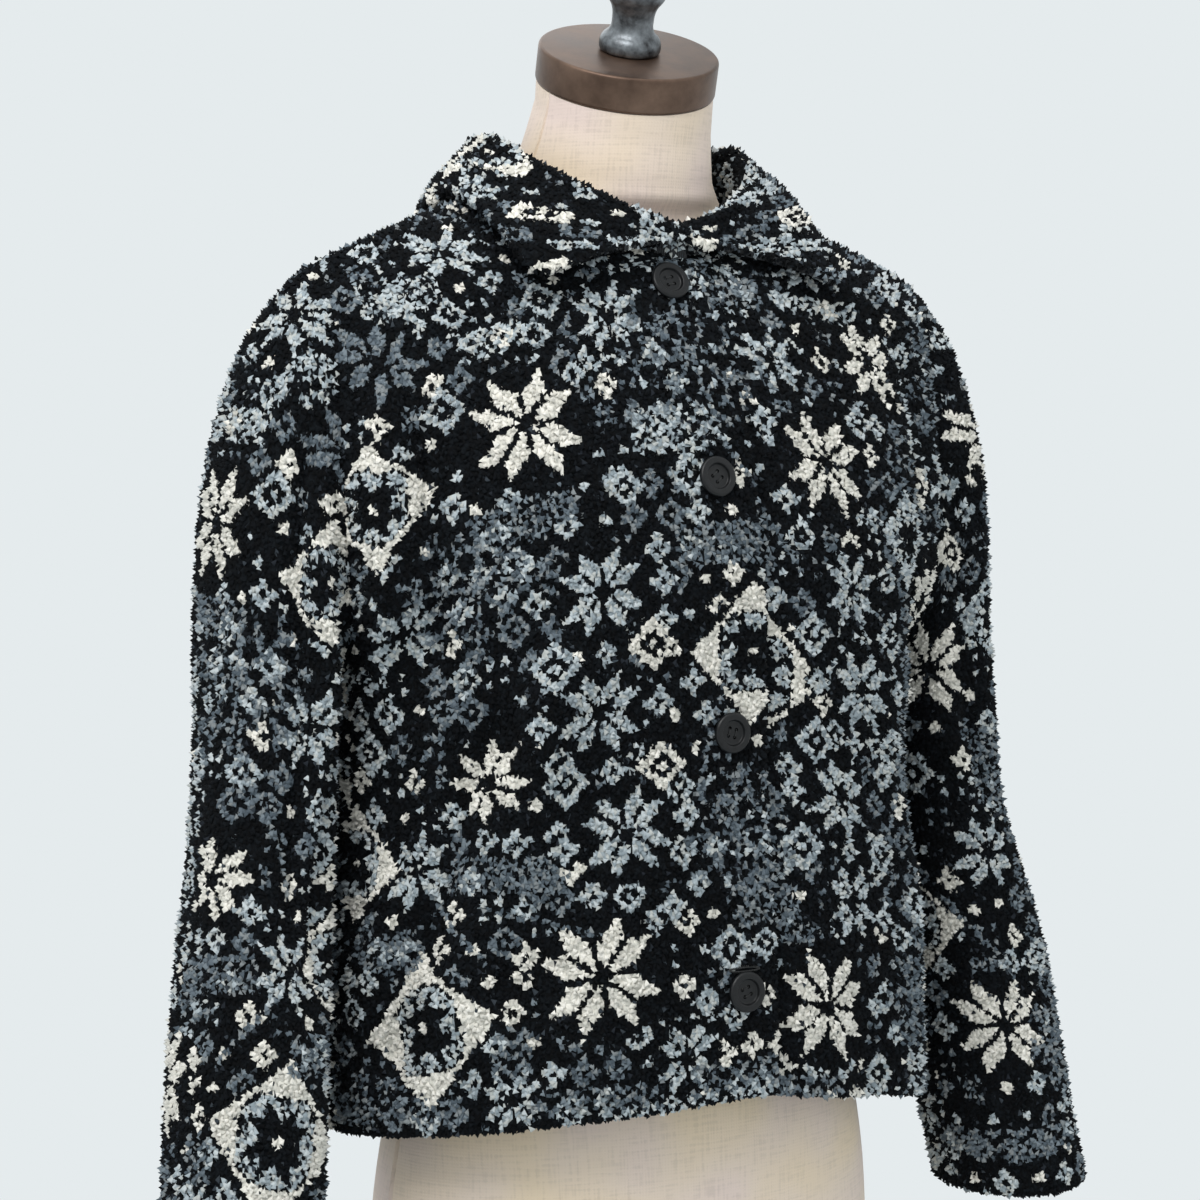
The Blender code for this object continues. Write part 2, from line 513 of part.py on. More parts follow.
def cloth_grids():
    """All grids of the body and the sleeves, with shared normals and inner points."""
    rows = body_rows()
    under = int(np.argmin(abs(rows - UNDERARM_ROW)))
    shares = np.linspace(0, 1, COLUMNS_OF_HALF_BODY + 1)
    hem_share = 1 - ease((rows - HEM_ROWS[1]) / (HEM_ROWS[2] - HEM_ROWS[1]))
    wall = CLOTH + TURNED_HEM * hem_share
    fronts = {side: body_half(FRONT_ROWS, FRONT_FOLDS, side, rows, shares, wall) for side in (-1, 1)}
    backs = {side: body_half(BACK_ROWS, BACK_FOLDS, side, rows, shares, wall) for side in (-1, 1)}
    last = len(rows) - 1
    for side in (-1, 1):
        side_seam = [(i, -1) for i in range(under + 1)]
        meet(fronts[side], backs[side], side_seam, side_seam)
        shoulder_seam = [(last, j) for j in range(len(shares))]
        meet(fronts[side], backs[side], shoulder_seam, shoulder_seam)
    centre = [(i, 0) for i in range(len(rows) - ROWS_ON_NECKLINE)]
    meet(backs[-1], backs[1], centre, centre)
    grids = {}
    head_shares = np.linspace(0, 1, RINGS_OF_SLEEVE_HEAD + 1)
    down_shares = np.concatenate([np.linspace(0, CUFF_SHARES[0], RINGS_OF_SLEEVE - 1),
                                  CUFF_SHARES[1:]])
    for side, word in ((-1, "right"), (1, "left")):
        grids["front_" + word] = make_grid(fronts[side], side, wall[:, None])
        grids["back_" + word] = make_grid(backs[side], -side, wall[:, None])
        for i in range(len(rows) - ROWS_ON_NECKLINE):
            grids["back_" + word]["normal"][i, 0, 0] = 0
        armhole = np.concatenate([fronts[side][under:, -1], backs[side][under + 1:last, -1][::-1]])
        sleeve = sleeve_points(armhole, side, head_shares, down_shares)
        count = len(sleeve)
        cuff = 1 - ease((CUFF_SHARES[1] - down_shares) / (CUFF_SHARES[1] - CUFF_SHARES[0]))
        cuff = np.concatenate([np.zeros(count - len(cuff)), cuff])[:, None]
        grids["sleeve_" + word] = make_grid(sleeve, -side, CLOTH + TURNED_HEM * cuff, closed=True)
    share_normals(list(grids.values()))
    for grid in grids.values():
        grid["inner"] = grid["outer"] - grid["normal"] * grid["thick"][:, :, None]
    return grids


def neckline_stations(grids):
    """Outer and inner points of the neckline from the right centre front round the back to the
    left centre front, with each station's share of the way and its side."""
    stations = []
    for side, word in ((-1, "right"), (1, "left")):
        front = grids["front_" + word]
        back = grids["back_" + word]
        rows = front["outer"].shape[0]
        half = [(front, i) for i in range(rows - ROWS_ON_NECKLINE, rows)]
        half += [(back, i) for i in range(rows - 2, rows - ROWS_ON_NECKLINE - 2, -1)]
        points = [dict(out=g["outer"][i, 0], into=g["inner"][i, 0], side=side) for g, i in half]
        for k, point in enumerate(points):
            point["share"] = k / (len(points) - 1)
        stations.append(points)
    return stations[0] + stations[1][-2::-1]


def collar_surface(grids, across_stand, across_fold, across_leaf):
    """The collar's hidden side: a line from the neckline up, over the fold and down the leaf, at
    each station round the neck."""
    lines = []
    shares = []
    for station in neckline_stations(grids):
        side = station["side"]
        look = {name: smooth_column(COLLAR_SECTIONS, "share", name, station["share"])
                for name in COLLAR_SECTIONS[0] if name != "share"}
        foot = station["out"]
        edge = np.array([look["edge_x"] * side, look["edge_y"], look["edge_z"]])
        radial = unit(np.array([foot[0], foot[1] - NECK_CENTRE_Y, 0.0]))
        towards = unit((edge - foot) * [1, 1, 0])
        away = unit(0.6 * radial + 0.4 * towards)
        up = np.array([0.0, 0.0, 1.0])
        fold = foot + radial * look["out"] + up * look["rise"]
        start = fold - away * COLLAR_FOLD_RADIUS
        stand = [foot + (start - foot) * t for t in across_stand]
        turn = [fold + COLLAR_FOLD_RADIUS * (up * math.sin(a) - away * math.cos(a))
                for a in across_fold]
        leave = fold + away * COLLAR_FOLD_RADIUS
        run = edge - leave
        drop = leave - up * 0.004 + run * 0.25 + away * 0.003
        near = edge - run * 0.33 + up * 0.008
        leaf = bezier(leave, drop, near, edge, across_leaf)
        lines.append(np.concatenate([stand, turn, leaf]))
        shares.append(station["share"])
    return np.array(lines), np.array(shares)


def panel_tree(grids, names):
    """One search tree of the outer sides of some grids."""
    vertices = []
    faces = []
    for name in names:
        points = grids[name]["outer"]
        rows, columns = points.shape[:2]
        ids = np.arange(rows * columns).reshape(rows, columns) + len(vertices)
        corners = [ids[:-1, :-1], ids[:-1, 1:], ids[1:, 1:], ids[1:, :-1]]
        if grids[name]["turn"] < 0:
            corners.reverse()
        faces += np.stack([corner.ravel() for corner in corners], axis=1).tolist()
        vertices += points.reshape(-1, 3).tolist()
    return BVHTree.FromPolygons(vertices, faces)


def lift_off(point, tree, space):
    """Moves a point out until it lies at least the given space outside the panels."""
    for _ in range(4):
        spot, normal, _, gap = tree.find_nearest(point, 0.03)
        if spot is None:
            break
        outside = (point - spot).dot(normal)
        if outside >= 0 and gap >= space:
            break
        point = point + normal * (space - outside)
    return point


def make_collar(grids, material):
    """The collar: a stand, a tight fold and a leaf with two points, as one wall."""
    across_stand = (0.0, 0.5, 1.0)
    across_fold = np.radians((45, 90, 135))
    across_leaf = np.linspace(0, 1, 7)
    hidden, shares = collar_surface(grids, across_stand, across_fold, across_leaf)
    first_leaf = len(across_stand) + len(across_fold)
    tree = panel_tree(grids, ("front_right", "front_left", "back_right", "back_left"))
    middle = len(hidden) // 2
    for k in range(len(hidden)):
        for j in range(first_leaf + 1, hidden.shape[1]):
            step = (j - first_leaf) / (hidden.shape[1] - 1 - first_leaf)
            puff = RIGHT_LEAF_PUFF if k < middle else LEFT_LEAF_PUFF
            puff *= ease(step / 0.6) * ease(1.2 - 1.6 * shares[k])
            hidden[k, j] = lift_off(Vector(hidden[k, j]), tree, COLLAR_LIFT + puff)
    normal = -grid_normals(hidden)
    visible = hidden + normal * CLOTH
    for k, station in enumerate(neckline_stations(grids)):
        visible[k, 0] = station["into"]
        lean = unit(station["into"] - station["out"])
        visible[k, 1] = hidden[k, 1] + unit(lean + normal[k, 1]) * CLOTH
    # The two front ends stop just short of each other.
    for points in (hidden, visible):
        for end, beside in ((0, 1), (-1, -2)):
            points[end] += unit(points[beside] - points[end]) * COLLAR_END_GAP
    # The hidden side carries on from the panels' outer side, so it counts as the outer one here.
    grid = dict(outer=hidden, inner=visible, turn=-1)
    draw_in(grid, "first_column")
    return wall_object("collar", [grid], False, material)


def rounded_loft(name, rings, material):
    """A closed body through rings of points, with flat ends."""
    mesh = bpy.data.meshes.new(name)
    count = len(rings[0])
    vertices = [tuple(p) for ring in rings for p in ring]
    faces = [tuple(range(count)), tuple(range(len(vertices) - count, len(vertices)))]
    for i in range(len(rings) - 1):
        for j in range(count):
            k = (j + 1) % count
            faces.append((i * count + j, i * count + k, (i + 1) * count + k, (i + 1) * count + j))
    mesh.from_pydata(vertices, [], faces)
    return finish_object(name, mesh, material, sharp=40)


def make_form(cloth_tree, material):
    """The torso and neck: one loft of oval sections, drawn in wherever it would reach the cloth."""
    rings = []
    heights = [s["z"] for s in FORM_SECTIONS]
    levels = sorted(set(np.round(np.concatenate([
        heights[:2], np.linspace(heights[1], 0.89, 16), np.linspace(0.90, 1.02, 17)]), 4)))
    for z in levels:
        look = {name: smooth_column(FORM_SECTIONS, "z", name, z)
                for name in FORM_SECTIONS[0] if name != "z"}
        centre = Vector((0, look["y"], z))
        tip = Matrix.Rotation(math.radians(look["tip"]), 3, "X")
        ring = []
        for k in range(FORM_POINTS_ROUND):
            turn = 2 * math.pi * k / FORM_POINTS_ROUND
            depth = look["back"] if math.sin(turn) > 0 else look["front"]
            offset = tip @ Vector((look["half_x"] * math.cos(turn), depth * math.sin(turn), 0))
            ring.append(centre + draw_in_from(cloth_tree, centre, offset))
        rings.append(ring)
    top = [cap_frame() @ Vector((CAP_RADIUS * 0.985 * math.cos(2 * math.pi * k / FORM_POINTS_ROUND),
                                 CAP_RADIUS * 0.985 * math.sin(2 * math.pi * k / FORM_POINTS_ROUND),
                                 -STAND_GAP)) for k in range(FORM_POINTS_ROUND)]
    rings.append(top)
    return rounded_loft("form_body", rings, material)


def draw_in_from(tree, centre, offset):
    """Shortens an offset from the form's axis until its end is clear of the cloth."""
    reach = offset.length
    way = offset.normalized()
    hit = tree.ray_cast(centre, way, reach + 0.02)
    if hit[0] is not None:
        reach = min(reach, hit[3] - FORM_CLEARANCE)
    for _ in range(60):
        near = tree.find_nearest(centre + way * reach, 0.02)
        if near[0] is None or near[3] >= FORM_CLEARANCE:
            break
        reach -= 0.0005
    return way * reach


def cap_frame():
    """Place and lean of the neck's top, with its own Z along the neck."""
    return (Matrix.Translation(NECK_TOP) @ Matrix.Rotation(CAP_TURN, 4, "Z")
            @ Matrix.Rotation(CAP_LEAN, 4, "X"))


def turned(name, profile, steps, place, material):
    """A turned piece: a profile from top to bottom, turned round its own Z axis."""
    mesh = bpy.data.meshes.new(name)
    edges = [(i, i + 1) for i in range(len(profile) - 1)]
    mesh.from_pydata([(r, 0, z) for r, z in profile], edges, [])
    mesh.materials.append(material)
    piece = bpy.data.objects.new(name, mesh)
    parts.objects.link(piece)
    screw = piece.modifiers.new("Turn", "SCREW")
    screw.steps = steps
    screw.render_steps = steps
    screw.use_merge_vertices = True
    screw.merge_threshold = 0.00001
    piece.matrix_world = place
    return piece


def make_neck_cap(material):
    """The metal disc on the neck, with softly rounded edges."""
    edge = 0.0022
    corner = [(CAP_RADIUS - edge + edge * math.sin(a), CAP_THICK - edge + edge * math.cos(a))
              for a in np.radians((0, 30, 60, 90))]
    foot = [(CAP_RADIUS, 0.0012), (CAP_RADIUS - 0.0012, 0.0)]
    profile = [(0.0, CAP_THICK)] + corner + foot + [(0.0, 0.0)]
    return turned("neck_cap", profile, 32, cap_frame(), material)


def make_finial(material):
    """The turned knob on the cap."""
    profile = [
        (0.0, 0.0800), (0.0070, 0.0790), (0.0120, 0.0750), (0.0145, 0.0690), (0.0130, 0.0620),
        (0.0105, 0.0570), (0.0150, 0.0530), (0.0190, 0.0465), (0.0200, 0.0400), (0.0180, 0.0335),
        (0.0145, 0.0290), (0.0130, 0.0240), (0.0128, 0.0160), (0.0145, 0.0120), (0.0178, 0.0095),
        (0.0192, 0.0060), (0.0192, 0.0), (0.0, 0.0),
    ]
    place = cap_frame() @ Matrix.Translation((0, 0, CAP_THICK + STAND_GAP))
    return turned("finial", profile, 18, place, material)


def button_mesh(material):
    """A flat-rimmed button with a dished middle and four holes."""
    profile = [
        (0.0, 0.0022), (0.0064, 0.0022), (0.0074, 0.0030), (0.0082, 0.0036), (0.0112, 0.0036),
        (BUTTON_RADIUS, 0.0027), (BUTTON_RADIUS, 0.0010), (0.0110, 0.0), (0.0, 0.0),
    ]
    blank = turned("button_blank", profile, 18, Matrix(), material)
    drill = bpy.data.meshes.new("button_holes")
    work = bmesh.new()
    for k in range(4):
        turn = math.pi / 4 + k * math.pi / 2
        spread = BUTTON_HOLE_SPREAD * math.sqrt(2)
        place = Matrix.Translation((spread * math.cos(turn), spread * math.sin(turn), 0.001))
        bmesh.ops.create_cone(work, cap_ends=True, segments=8, radius1=BUTTON_HOLE,
                              radius2=BUTTON_HOLE, depth=0.008, matrix=place)
    work.to_mesh(drill)
    work.free()
    cutter = bpy.data.objects.new("button_holes", drill)
    cutter.hide_render = True
    cutter.display_type = "WIRE"
    cutters.objects.link(cutter)
    cut = blank.modifiers.new("Holes", "BOOLEAN")
    cut.object = cutter
    cut.operation = "DIFFERENCE"
    bpy.context.view_layer.update()
    graph = bpy.context.evaluated_depsgraph_get()
    mesh = bpy.data.meshes.new_from_object(blank.evaluated_get(graph))
    bpy.data.objects.remove(blank)
    mesh.shade_smooth()
    mesh.set_sharp_from_angle(angle=math.radians(35))
    return mesh


def seat_button(name, mesh, place, turn, tree):
    """Puts a button on the right front at its place from the front, just clear of the cloth."""
    spot, normal, _, _ = tree.ray_cast(Vector((place[0], -0.5, place[1])), Vector((0, 1, 0)))
    face = normal.to_track_quat("Z", "Y").to_matrix().to_4x4()
    lowest = 0.0
    for k in range(24):
        way = Vector((math.cos(k * math.pi / 12), math.sin(k * math.pi / 12), 0))
        for radius in (BUTTON_RADIUS, BUTTON_RADIUS / 2):
            start = spot + face.to_3x3() @ (way * radius) + normal * 0.02
            hit = tree.ray_cast(start, -normal, 0.04)
            if hit[0] is not None:
                lowest = max(lowest, 0.02 - hit[3])
    piece = bpy.data.objects.new(name, mesh)
    parts.objects.link(piece)
    seat = Matrix.Translation(spot + normal * (lowest + BUTTON_SEAT))
    piece.matrix_world = seat @ face @ Matrix.Rotation(math.radians(turn), 4, "Z")
    return piece


def plain_cylinder(name, radius, bottom, top, segments, material, bevel=0.0):
    """An upright cylinder between two heights."""
    bpy.ops.mesh.primitive_cylinder_add(vertices=segments, radius=radius, depth=top - bottom,
                                        location=(0, 0, (top + bottom) / 2))
    piece = bpy.context.object
    piece.name = name
    piece.data.name = name
    piece.data.shade_smooth()
    piece.data.set_sharp_from_angle(angle=math.radians(40))
    piece.data.materials.append(material)
    for collection in piece.users_collection:
        collection.objects.unlink(piece)
    parts.objects.link(piece)
    if bevel:
        edge = piece.modifiers.new("Edge", "BEVEL")
        edge.width = bevel
        edge.segments = 2
        edge.limit_method = "ANGLE"
    return piece


def make_material(name, colour, roughness, metallic=0.0):
    """A plain material from its linear colour, roughness and metallic value."""
    material = bpy.data.materials.new(name)
    material.use_nodes = True
    shader = material.node_tree.nodes["Principled BSDF"]
    shader.inputs["Base Color"].default_value = (*colour, 1.0)
    shader.inputs["Roughness"].default_value = roughness
    shader.inputs["Metallic"].default_value = metallic
    return material


def make_cloth(fleece):
    """The fronts, back, sleeves and collar. Returns their grids."""
    grids = cloth_grids()
    for name, grid in grids.items():
        if name.startswith("sleeve"):
            draw_in(grid, "first_row")
            continue
        draw_in(grid, "last_column")
        draw_in(grid, "last_row")
    make_collar(grids, fleece)
    for word in ("right", "left"):
        draw_in(grids["front_" + word], "neckline")
        draw_in(grids["back_" + word], "neckline")
        wall_object("front_" + word, [grids["front_" + word]], False, fleece)
        wall_object("sleeve_" + word, [grids["sleeve_" + word]], True, fleece)
    wall_object("back", [grids["back_right"], grids["back_left"]], False, fleece)
    return grids


def main():
    """Builds the whole object."""
    fleece = make_material("curly pile fleece, black and ivory", (0.035, 0.036, 0.038), 0.95)
    linen = make_material("natural linen over the form", (0.72, 0.60, 0.49), 0.85)
    bronze = make_material("dark bronze cap", (0.10, 0.075, 0.055), 0.45, 0.7)
    iron = make_material("dark cast iron", (0.045, 0.047, 0.05), 0.5, 0.8)
    resin = make_material("black button resin", (0.012, 0.012, 0.014), 0.35)

    make_cloth(fleece)
    cloth = [piece for piece in parts.objects]
    vertices = []
    faces = []
    for piece in cloth:
        start = len(vertices)
        vertices += [vertex.co.copy() for vertex in piece.data.vertices]
        faces += [[start + i for i in face.vertices] for face in piece.data.polygons]
    make_form(BVHTree.FromPolygons(vertices, faces), linen)
    make_neck_cap(bronze)
    make_finial(iron)

    front = parts.objects["front_right"].data
    front_tree = BVHTree.FromPolygons([v.co.copy() for v in front.vertices],
                                      [list(face.vertices) for face in front.polygons])
    shared = button_mesh(resin)
    for k, (place, turn) in enumerate(zip(BUTTON_PLACES, BUTTON_TURNS)):
        seat_button("button_%d" % (k + 1), shared, place, turn, front_tree)

    form_bottom = FORM_SECTIONS[0]["z"]
    plain_cylinder("column", COLUMN_RADIUS, BASE_THICK + STAND_GAP, form_bottom - STAND_GAP, 24, iron)
    plain_cylinder("base", BASE_RADIUS, 0, BASE_THICK, 40, iron, bevel=0.003)


for old in list(bpy.data.objects):
    bpy.data.objects.remove(old)
parts = bpy.data.collections.new("cardigan_on_dress_form")
cutters = bpy.data.collections.new("cutters")
bpy.context.scene.collection.children.link(parts)
bpy.context.scene.collection.children.link(cutters)
main()
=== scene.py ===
# Curly fleece cardigan on a dress form: the looks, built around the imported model.
# Lengths are in metres unless a name says mm. +Z is up and the fronts face -Y.
import math

import bpy
import numpy as np
from mathutils import Matrix, Vector
from mathutils.bvhtree import BVHTree


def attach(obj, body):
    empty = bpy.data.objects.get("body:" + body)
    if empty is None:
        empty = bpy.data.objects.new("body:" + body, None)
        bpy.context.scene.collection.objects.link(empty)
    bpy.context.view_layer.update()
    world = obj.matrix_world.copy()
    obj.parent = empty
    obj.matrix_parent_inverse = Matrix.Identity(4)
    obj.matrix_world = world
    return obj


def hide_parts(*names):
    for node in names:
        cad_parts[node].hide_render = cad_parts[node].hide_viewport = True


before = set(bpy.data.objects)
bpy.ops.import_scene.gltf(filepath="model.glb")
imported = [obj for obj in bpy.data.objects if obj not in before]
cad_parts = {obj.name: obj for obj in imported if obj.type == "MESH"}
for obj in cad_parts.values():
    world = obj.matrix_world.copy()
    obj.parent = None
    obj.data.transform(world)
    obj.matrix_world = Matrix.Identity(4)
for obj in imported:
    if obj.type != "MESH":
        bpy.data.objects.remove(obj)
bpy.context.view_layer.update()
print("frame loaded:", len(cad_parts), "nodes")


def addObject(name, data):
    made = bpy.data.objects.new(name, data)
    bpy.context.scene.collection.objects.link(made)
    return made


# camera at the photograph's place

view = dict(azimuth=-32.0, elevation=3.4, distance=2.0, lens=96, sensor=36,
            target=(0, 0, 0.72), slide=-0.0156)


def backOf(azimuth, elevation):
    a = math.radians(azimuth)
    e = math.radians(elevation)
    return Vector((math.sin(a) * math.cos(e), -math.cos(a) * math.cos(e), math.sin(e)))


def makeCamera():
    data = bpy.data.cameras.new("photoCamera")
    camera = addObject("photoCamera", data)
    data.lens = view["lens"]
    data.sensor_width = view["sensor"]
    back = backOf(view["azimuth"], view["elevation"])
    right = (-back).cross(Vector((0, 0, 1))).normalized()
    camera.location = Vector(view["target"]) + right * view["slide"] + back * view["distance"]
    camera.rotation_euler = back.to_track_quat("Z", "Y").to_euler()
    bpy.context.scene.camera = camera


makeCamera()
print("camera set")


# light and floor

studio = dict(
    paper="#e5ebed",          # what the sky and the floor look like behind the object
    skyStrength=1.0,
    mottle=("#cbd1d3", "#d3d9db"),    # the floor's paper, darker and lighter
    floorRadius=1.15,
    floorDrop=0.0004,
    floorCorners=96,
    lamps=[
        dict(name="keyLamp", azimuth=-52, elevation=46, distance=2.3, size=1.2, power=28),
        dict(name="fillLamp", azimuth=38, elevation=22, distance=2.8, size=1.8, power=3),
        dict(name="topLamp", azimuth=-20, elevation=80, distance=1.9, size=1.4, power=6),
        dict(name="backLamp", azimuth=165, elevation=35, distance=2.6, size=1.6, power=10),
    ],
    aim=(0, 0, 0.66),
)


def linear(hexColour):
    # sRGB hex to the linear values that shaders take
    parts = [int(hexColour[i:i + 2], 16) / 255 for i in (1, 3, 5)]
    return [c / 12.92 if c <= 0.04045 else ((c + 0.055) / 1.055) ** 2.4 for c in parts]


def addNode(tree, kind, values=None, links=None, feeds=None, stops=(), **settings):
    # feeds is the socket that takes its first output; stops are a ramp's places, upwards, and colours
    node = tree.nodes.new(kind)
    for name, value in settings.items():
        setattr(node, name, value)
    for name, value in (values or {}).items():
        node.inputs[name].default_value = value
    for name, source in (links or {}).items():
        tree.links.new(source, node.inputs[name])
    for place, colour in stops[2:]:
        node.color_ramp.elements.new(place)
    for k, (place, colour) in enumerate(stops):
        node.color_ramp.elements[k].position = place
        node.color_ramp.elements[k].color = (*linear(colour), 1)
    if feeds:
        tree.links.new(node.outputs[0], feeds)
    return node


def newMaterial(name, colour, roughness, metallic=0.0, **more):
    material = bpy.data.materials.new(name)
    material.use_nodes = True
    tree = material.node_tree
    shader = tree.nodes["Principled BSDF"]
    shader.inputs["Base Color"].default_value = (*linear(colour), 1)
    shader.inputs["Roughness"].default_value = roughness
    shader.inputs["Metallic"].default_value = metallic
    for socket, value in more.items():
        shader.inputs[socket.replace("_", " ")].default_value = value
    return material, tree, shader


def makeStudio():
    # a plain view, so that the hex colours come out as they are written
    bpy.context.scene.view_settings.view_transform = "Standard"
    world = bpy.data.worlds.new("paleStudio")
    bpy.context.scene.world = world
    world.use_nodes = True
    sky = world.node_tree.nodes["Background"]
    sky.inputs["Color"].default_value = (*linear(studio["paper"]), 1)
    sky.inputs["Strength"].default_value = studio["skyStrength"]
    for lamp in studio["lamps"]:
        light = bpy.data.lights.new(lamp["name"], "AREA")
        light.size = lamp["size"]
        light.energy = lamp["power"]
        holder = addObject(lamp["name"], light)
        back = backOf(lamp["azimuth"], lamp["elevation"])
        holder.location = Vector(studio["aim"]) + back * lamp["distance"]
        holder.rotation_euler = back.to_track_quat("Z", "Y").to_euler()
    # seamless paper: matt, with the faint mottle of its fibres
    material, tree, shader = newMaterial("seamlessPaper", studio["paper"], 0.85)
    place = addNode(tree, "ShaderNodeTexCoord")
    mottle = addNode(tree, "ShaderNodeTexNoise", {"Scale": 60, "Detail": 3},
                     {"Vector": place.outputs["Object"]})
    addNode(tree, "ShaderNodeValToRGB", {}, {"Fac": mottle.outputs["Fac"]}, shader.inputs["Base Color"],
            list(zip((0.3, 0.7), studio["mottle"])))
    mesh = bpy.data.meshes.new("floor")
    turns = [2 * math.pi * k / studio["floorCorners"] for k in range(studio["floorCorners"])]
    reach = studio["floorRadius"]
    mesh.from_pydata([(reach * math.cos(a), reach * math.sin(a), -studio["floorDrop"]) for a in turns],
                     [], [tuple(range(len(turns)))])
    mesh.materials.append(material)
    floor = addObject("floor", mesh)


makeStudio()
print("studio lit")


# shared helpers

def namedRows(names, rows):
    # the rows of a table, each with the names of its columns
    return [dict(zip(names.split(), row)) for row in rows]


def smoothColumn(table, key, column, value):
    # reads a column of a table between its rows along a smooth curve without overshoot
    keys = np.array([row[key] for row in table], dtype=float)
    values = np.array([row[column] for row in table], dtype=float)
    steps = np.diff(values) / np.diff(keys)
    slopes = np.concatenate([steps[:1], (steps[1:] + steps[:-1]) / 2, steps[-1:]])
    turning = np.concatenate([[False], steps[1:] * steps[:-1] <= 0, [False]])
    slopes = np.where(turning, 0.0, slopes)
    value = np.clip(value, keys[0], keys[-1])
    i = np.clip(np.searchsorted(keys, value) - 1, 0, len(keys) - 2)
    span = keys[i + 1] - keys[i]
    t = (value - keys[i]) / span
    return (
        values[i] * (1 + 2 * t) * (1 - t) ** 2
        + slopes[i] * span * t * (1 - t) ** 2
        + values[i + 1] * t * t * (3 - 2 * t)
        + slopes[i + 1] * span * t * t * (t - 1)
    )


def readTable(table, value):
    # all columns at one value of the first
    key = next(iter(table[0]))
    return {name: smoothColumn(table, key, name, value) for name in table[0] if name != key}


def ease(t):
    t = np.clip(t, 0.0, 1.0)
    return t * t * (3 - 2 * t)


def unit(vectors):
    length = np.linalg.norm(vectors, axis=-1, keepdims=True)
    return vectors / np.maximum(length, 1e-9)


def bezier(p0, p1, p2, p3, t):
    t = np.asarray(t)[:, None]
    return (1 - t) ** 3 * p0 + 3 * t * (1 - t) ** 2 * p1 + 3 * t * t * (1 - t) * p2 + t**3 * p3


def gridNormals(points, closed=False):
    # the second direction crossed with the first
    if closed:
        points = np.concatenate([points[:, -1:], points, points[:, :1]], axis=1)
    down = np.gradient(points, axis=0)
    across = np.gradient(points, axis=1)
    normal = unit(np.cross(across, down))
    return normal[:, 1:-1] if closed else normal


def lengthAlong(points, axis):
    # distance travelled along one direction of a grid, from its start
    steps = np.linalg.norm(np.diff(points, axis=axis), axis=2)
    start = np.zeros_like(steps[:1] if axis == 0 else steps[:, :1])
    return np.concatenate([start, np.cumsum(steps, axis=axis)], axis=axis)


def comeRound(points, axis=1):
    # a closed grid or line with its start again at its end
    return np.concatenate([points, points.take([0], axis)], axis=axis)


def cellSides(points):
    # two sides of each cell of a grid
    return points[:-1, 1:] - points[:-1, :-1], points[1:, :-1] - points[:-1, :-1]


def cellFaces(rows, columns, flipped, start=0):
    ids = np.arange(rows * columns).reshape(rows, columns) + start
    corners = [ids[:-1, :-1], ids[:-1, 1:], ids[1:, 1:], ids[1:, :-1]]
    if flipped:
        corners.reverse()
    return np.stack([corner.ravel() for corner in corners], axis=1)


def nodeTree(*names):
    # one search tree of some CAD nodes
    vertices = []
    faces = []
    for name in names:
        start = len(vertices)
        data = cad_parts[name].data
        vertices += [vertex.co.copy() for vertex in data.vertices]
        faces += [[start + i for i in face.vertices] for face in data.polygons]
    return BVHTree.FromPolygons(vertices, faces)


def finishPiece(name, mesh, material, sharp=60):
    mesh.shade_smooth()
    mesh.set_sharp_from_angle(angle=math.radians(sharp))
    mesh.materials.append(material)
    piece = addObject(name, mesh)
    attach(piece, "root")
    return piece


# the cloth's shape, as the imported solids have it

cloth = dict(
    thick=0.0042,             # the fleece with its pile
    turnedHem=0.0036,         # what the turned-up layer adds inside at the hem and cuffs
    overlap=0.019,            # how far each front runs past the centre front
    underlapGap=0.0012,
    underlapBow=0.0024,
    underarmRow=0.46,         # share of a panel's rows that lies below the underarm
    neckRow=0.74,             # share of the rows at which the neckline starts
    neckCentreY=0.012,
    neckHalfWidth=0.084,
    neckRise=1.15,            # how the neckline climbs to the shoulder: 1 would be evenly
    hemRows=(0.0, 0.022, 0.041, 0.052),
    rowsBelowArm=26,
    rowsOnOpening=18,
    rowsOnNeckline=12,
    columns=28,               # of half a body panel
    headRings=16,
    lowerRings=32,
    swayWidth=0.09,
    hemTilt=0.035,            # how much lower the hem hangs to the wearer's left, for each metre
    foldFade=0.12,            # share of the rows below the shoulder over which the folds fade
    foldStart=0.035,          # how far beside the overlap the folds of a front come up
    beyond=(0.004, 0.024),    # where and over what length the left front comes out beside the right
    tiltRows=0.3,             # share of the rows from the hem that hang lower on one side
    backingDepth=0.0021,      # how deep under the pile's top the knitted backing lies
    backingPull=0.0022,       # how far it ends before the cloth's edge
)

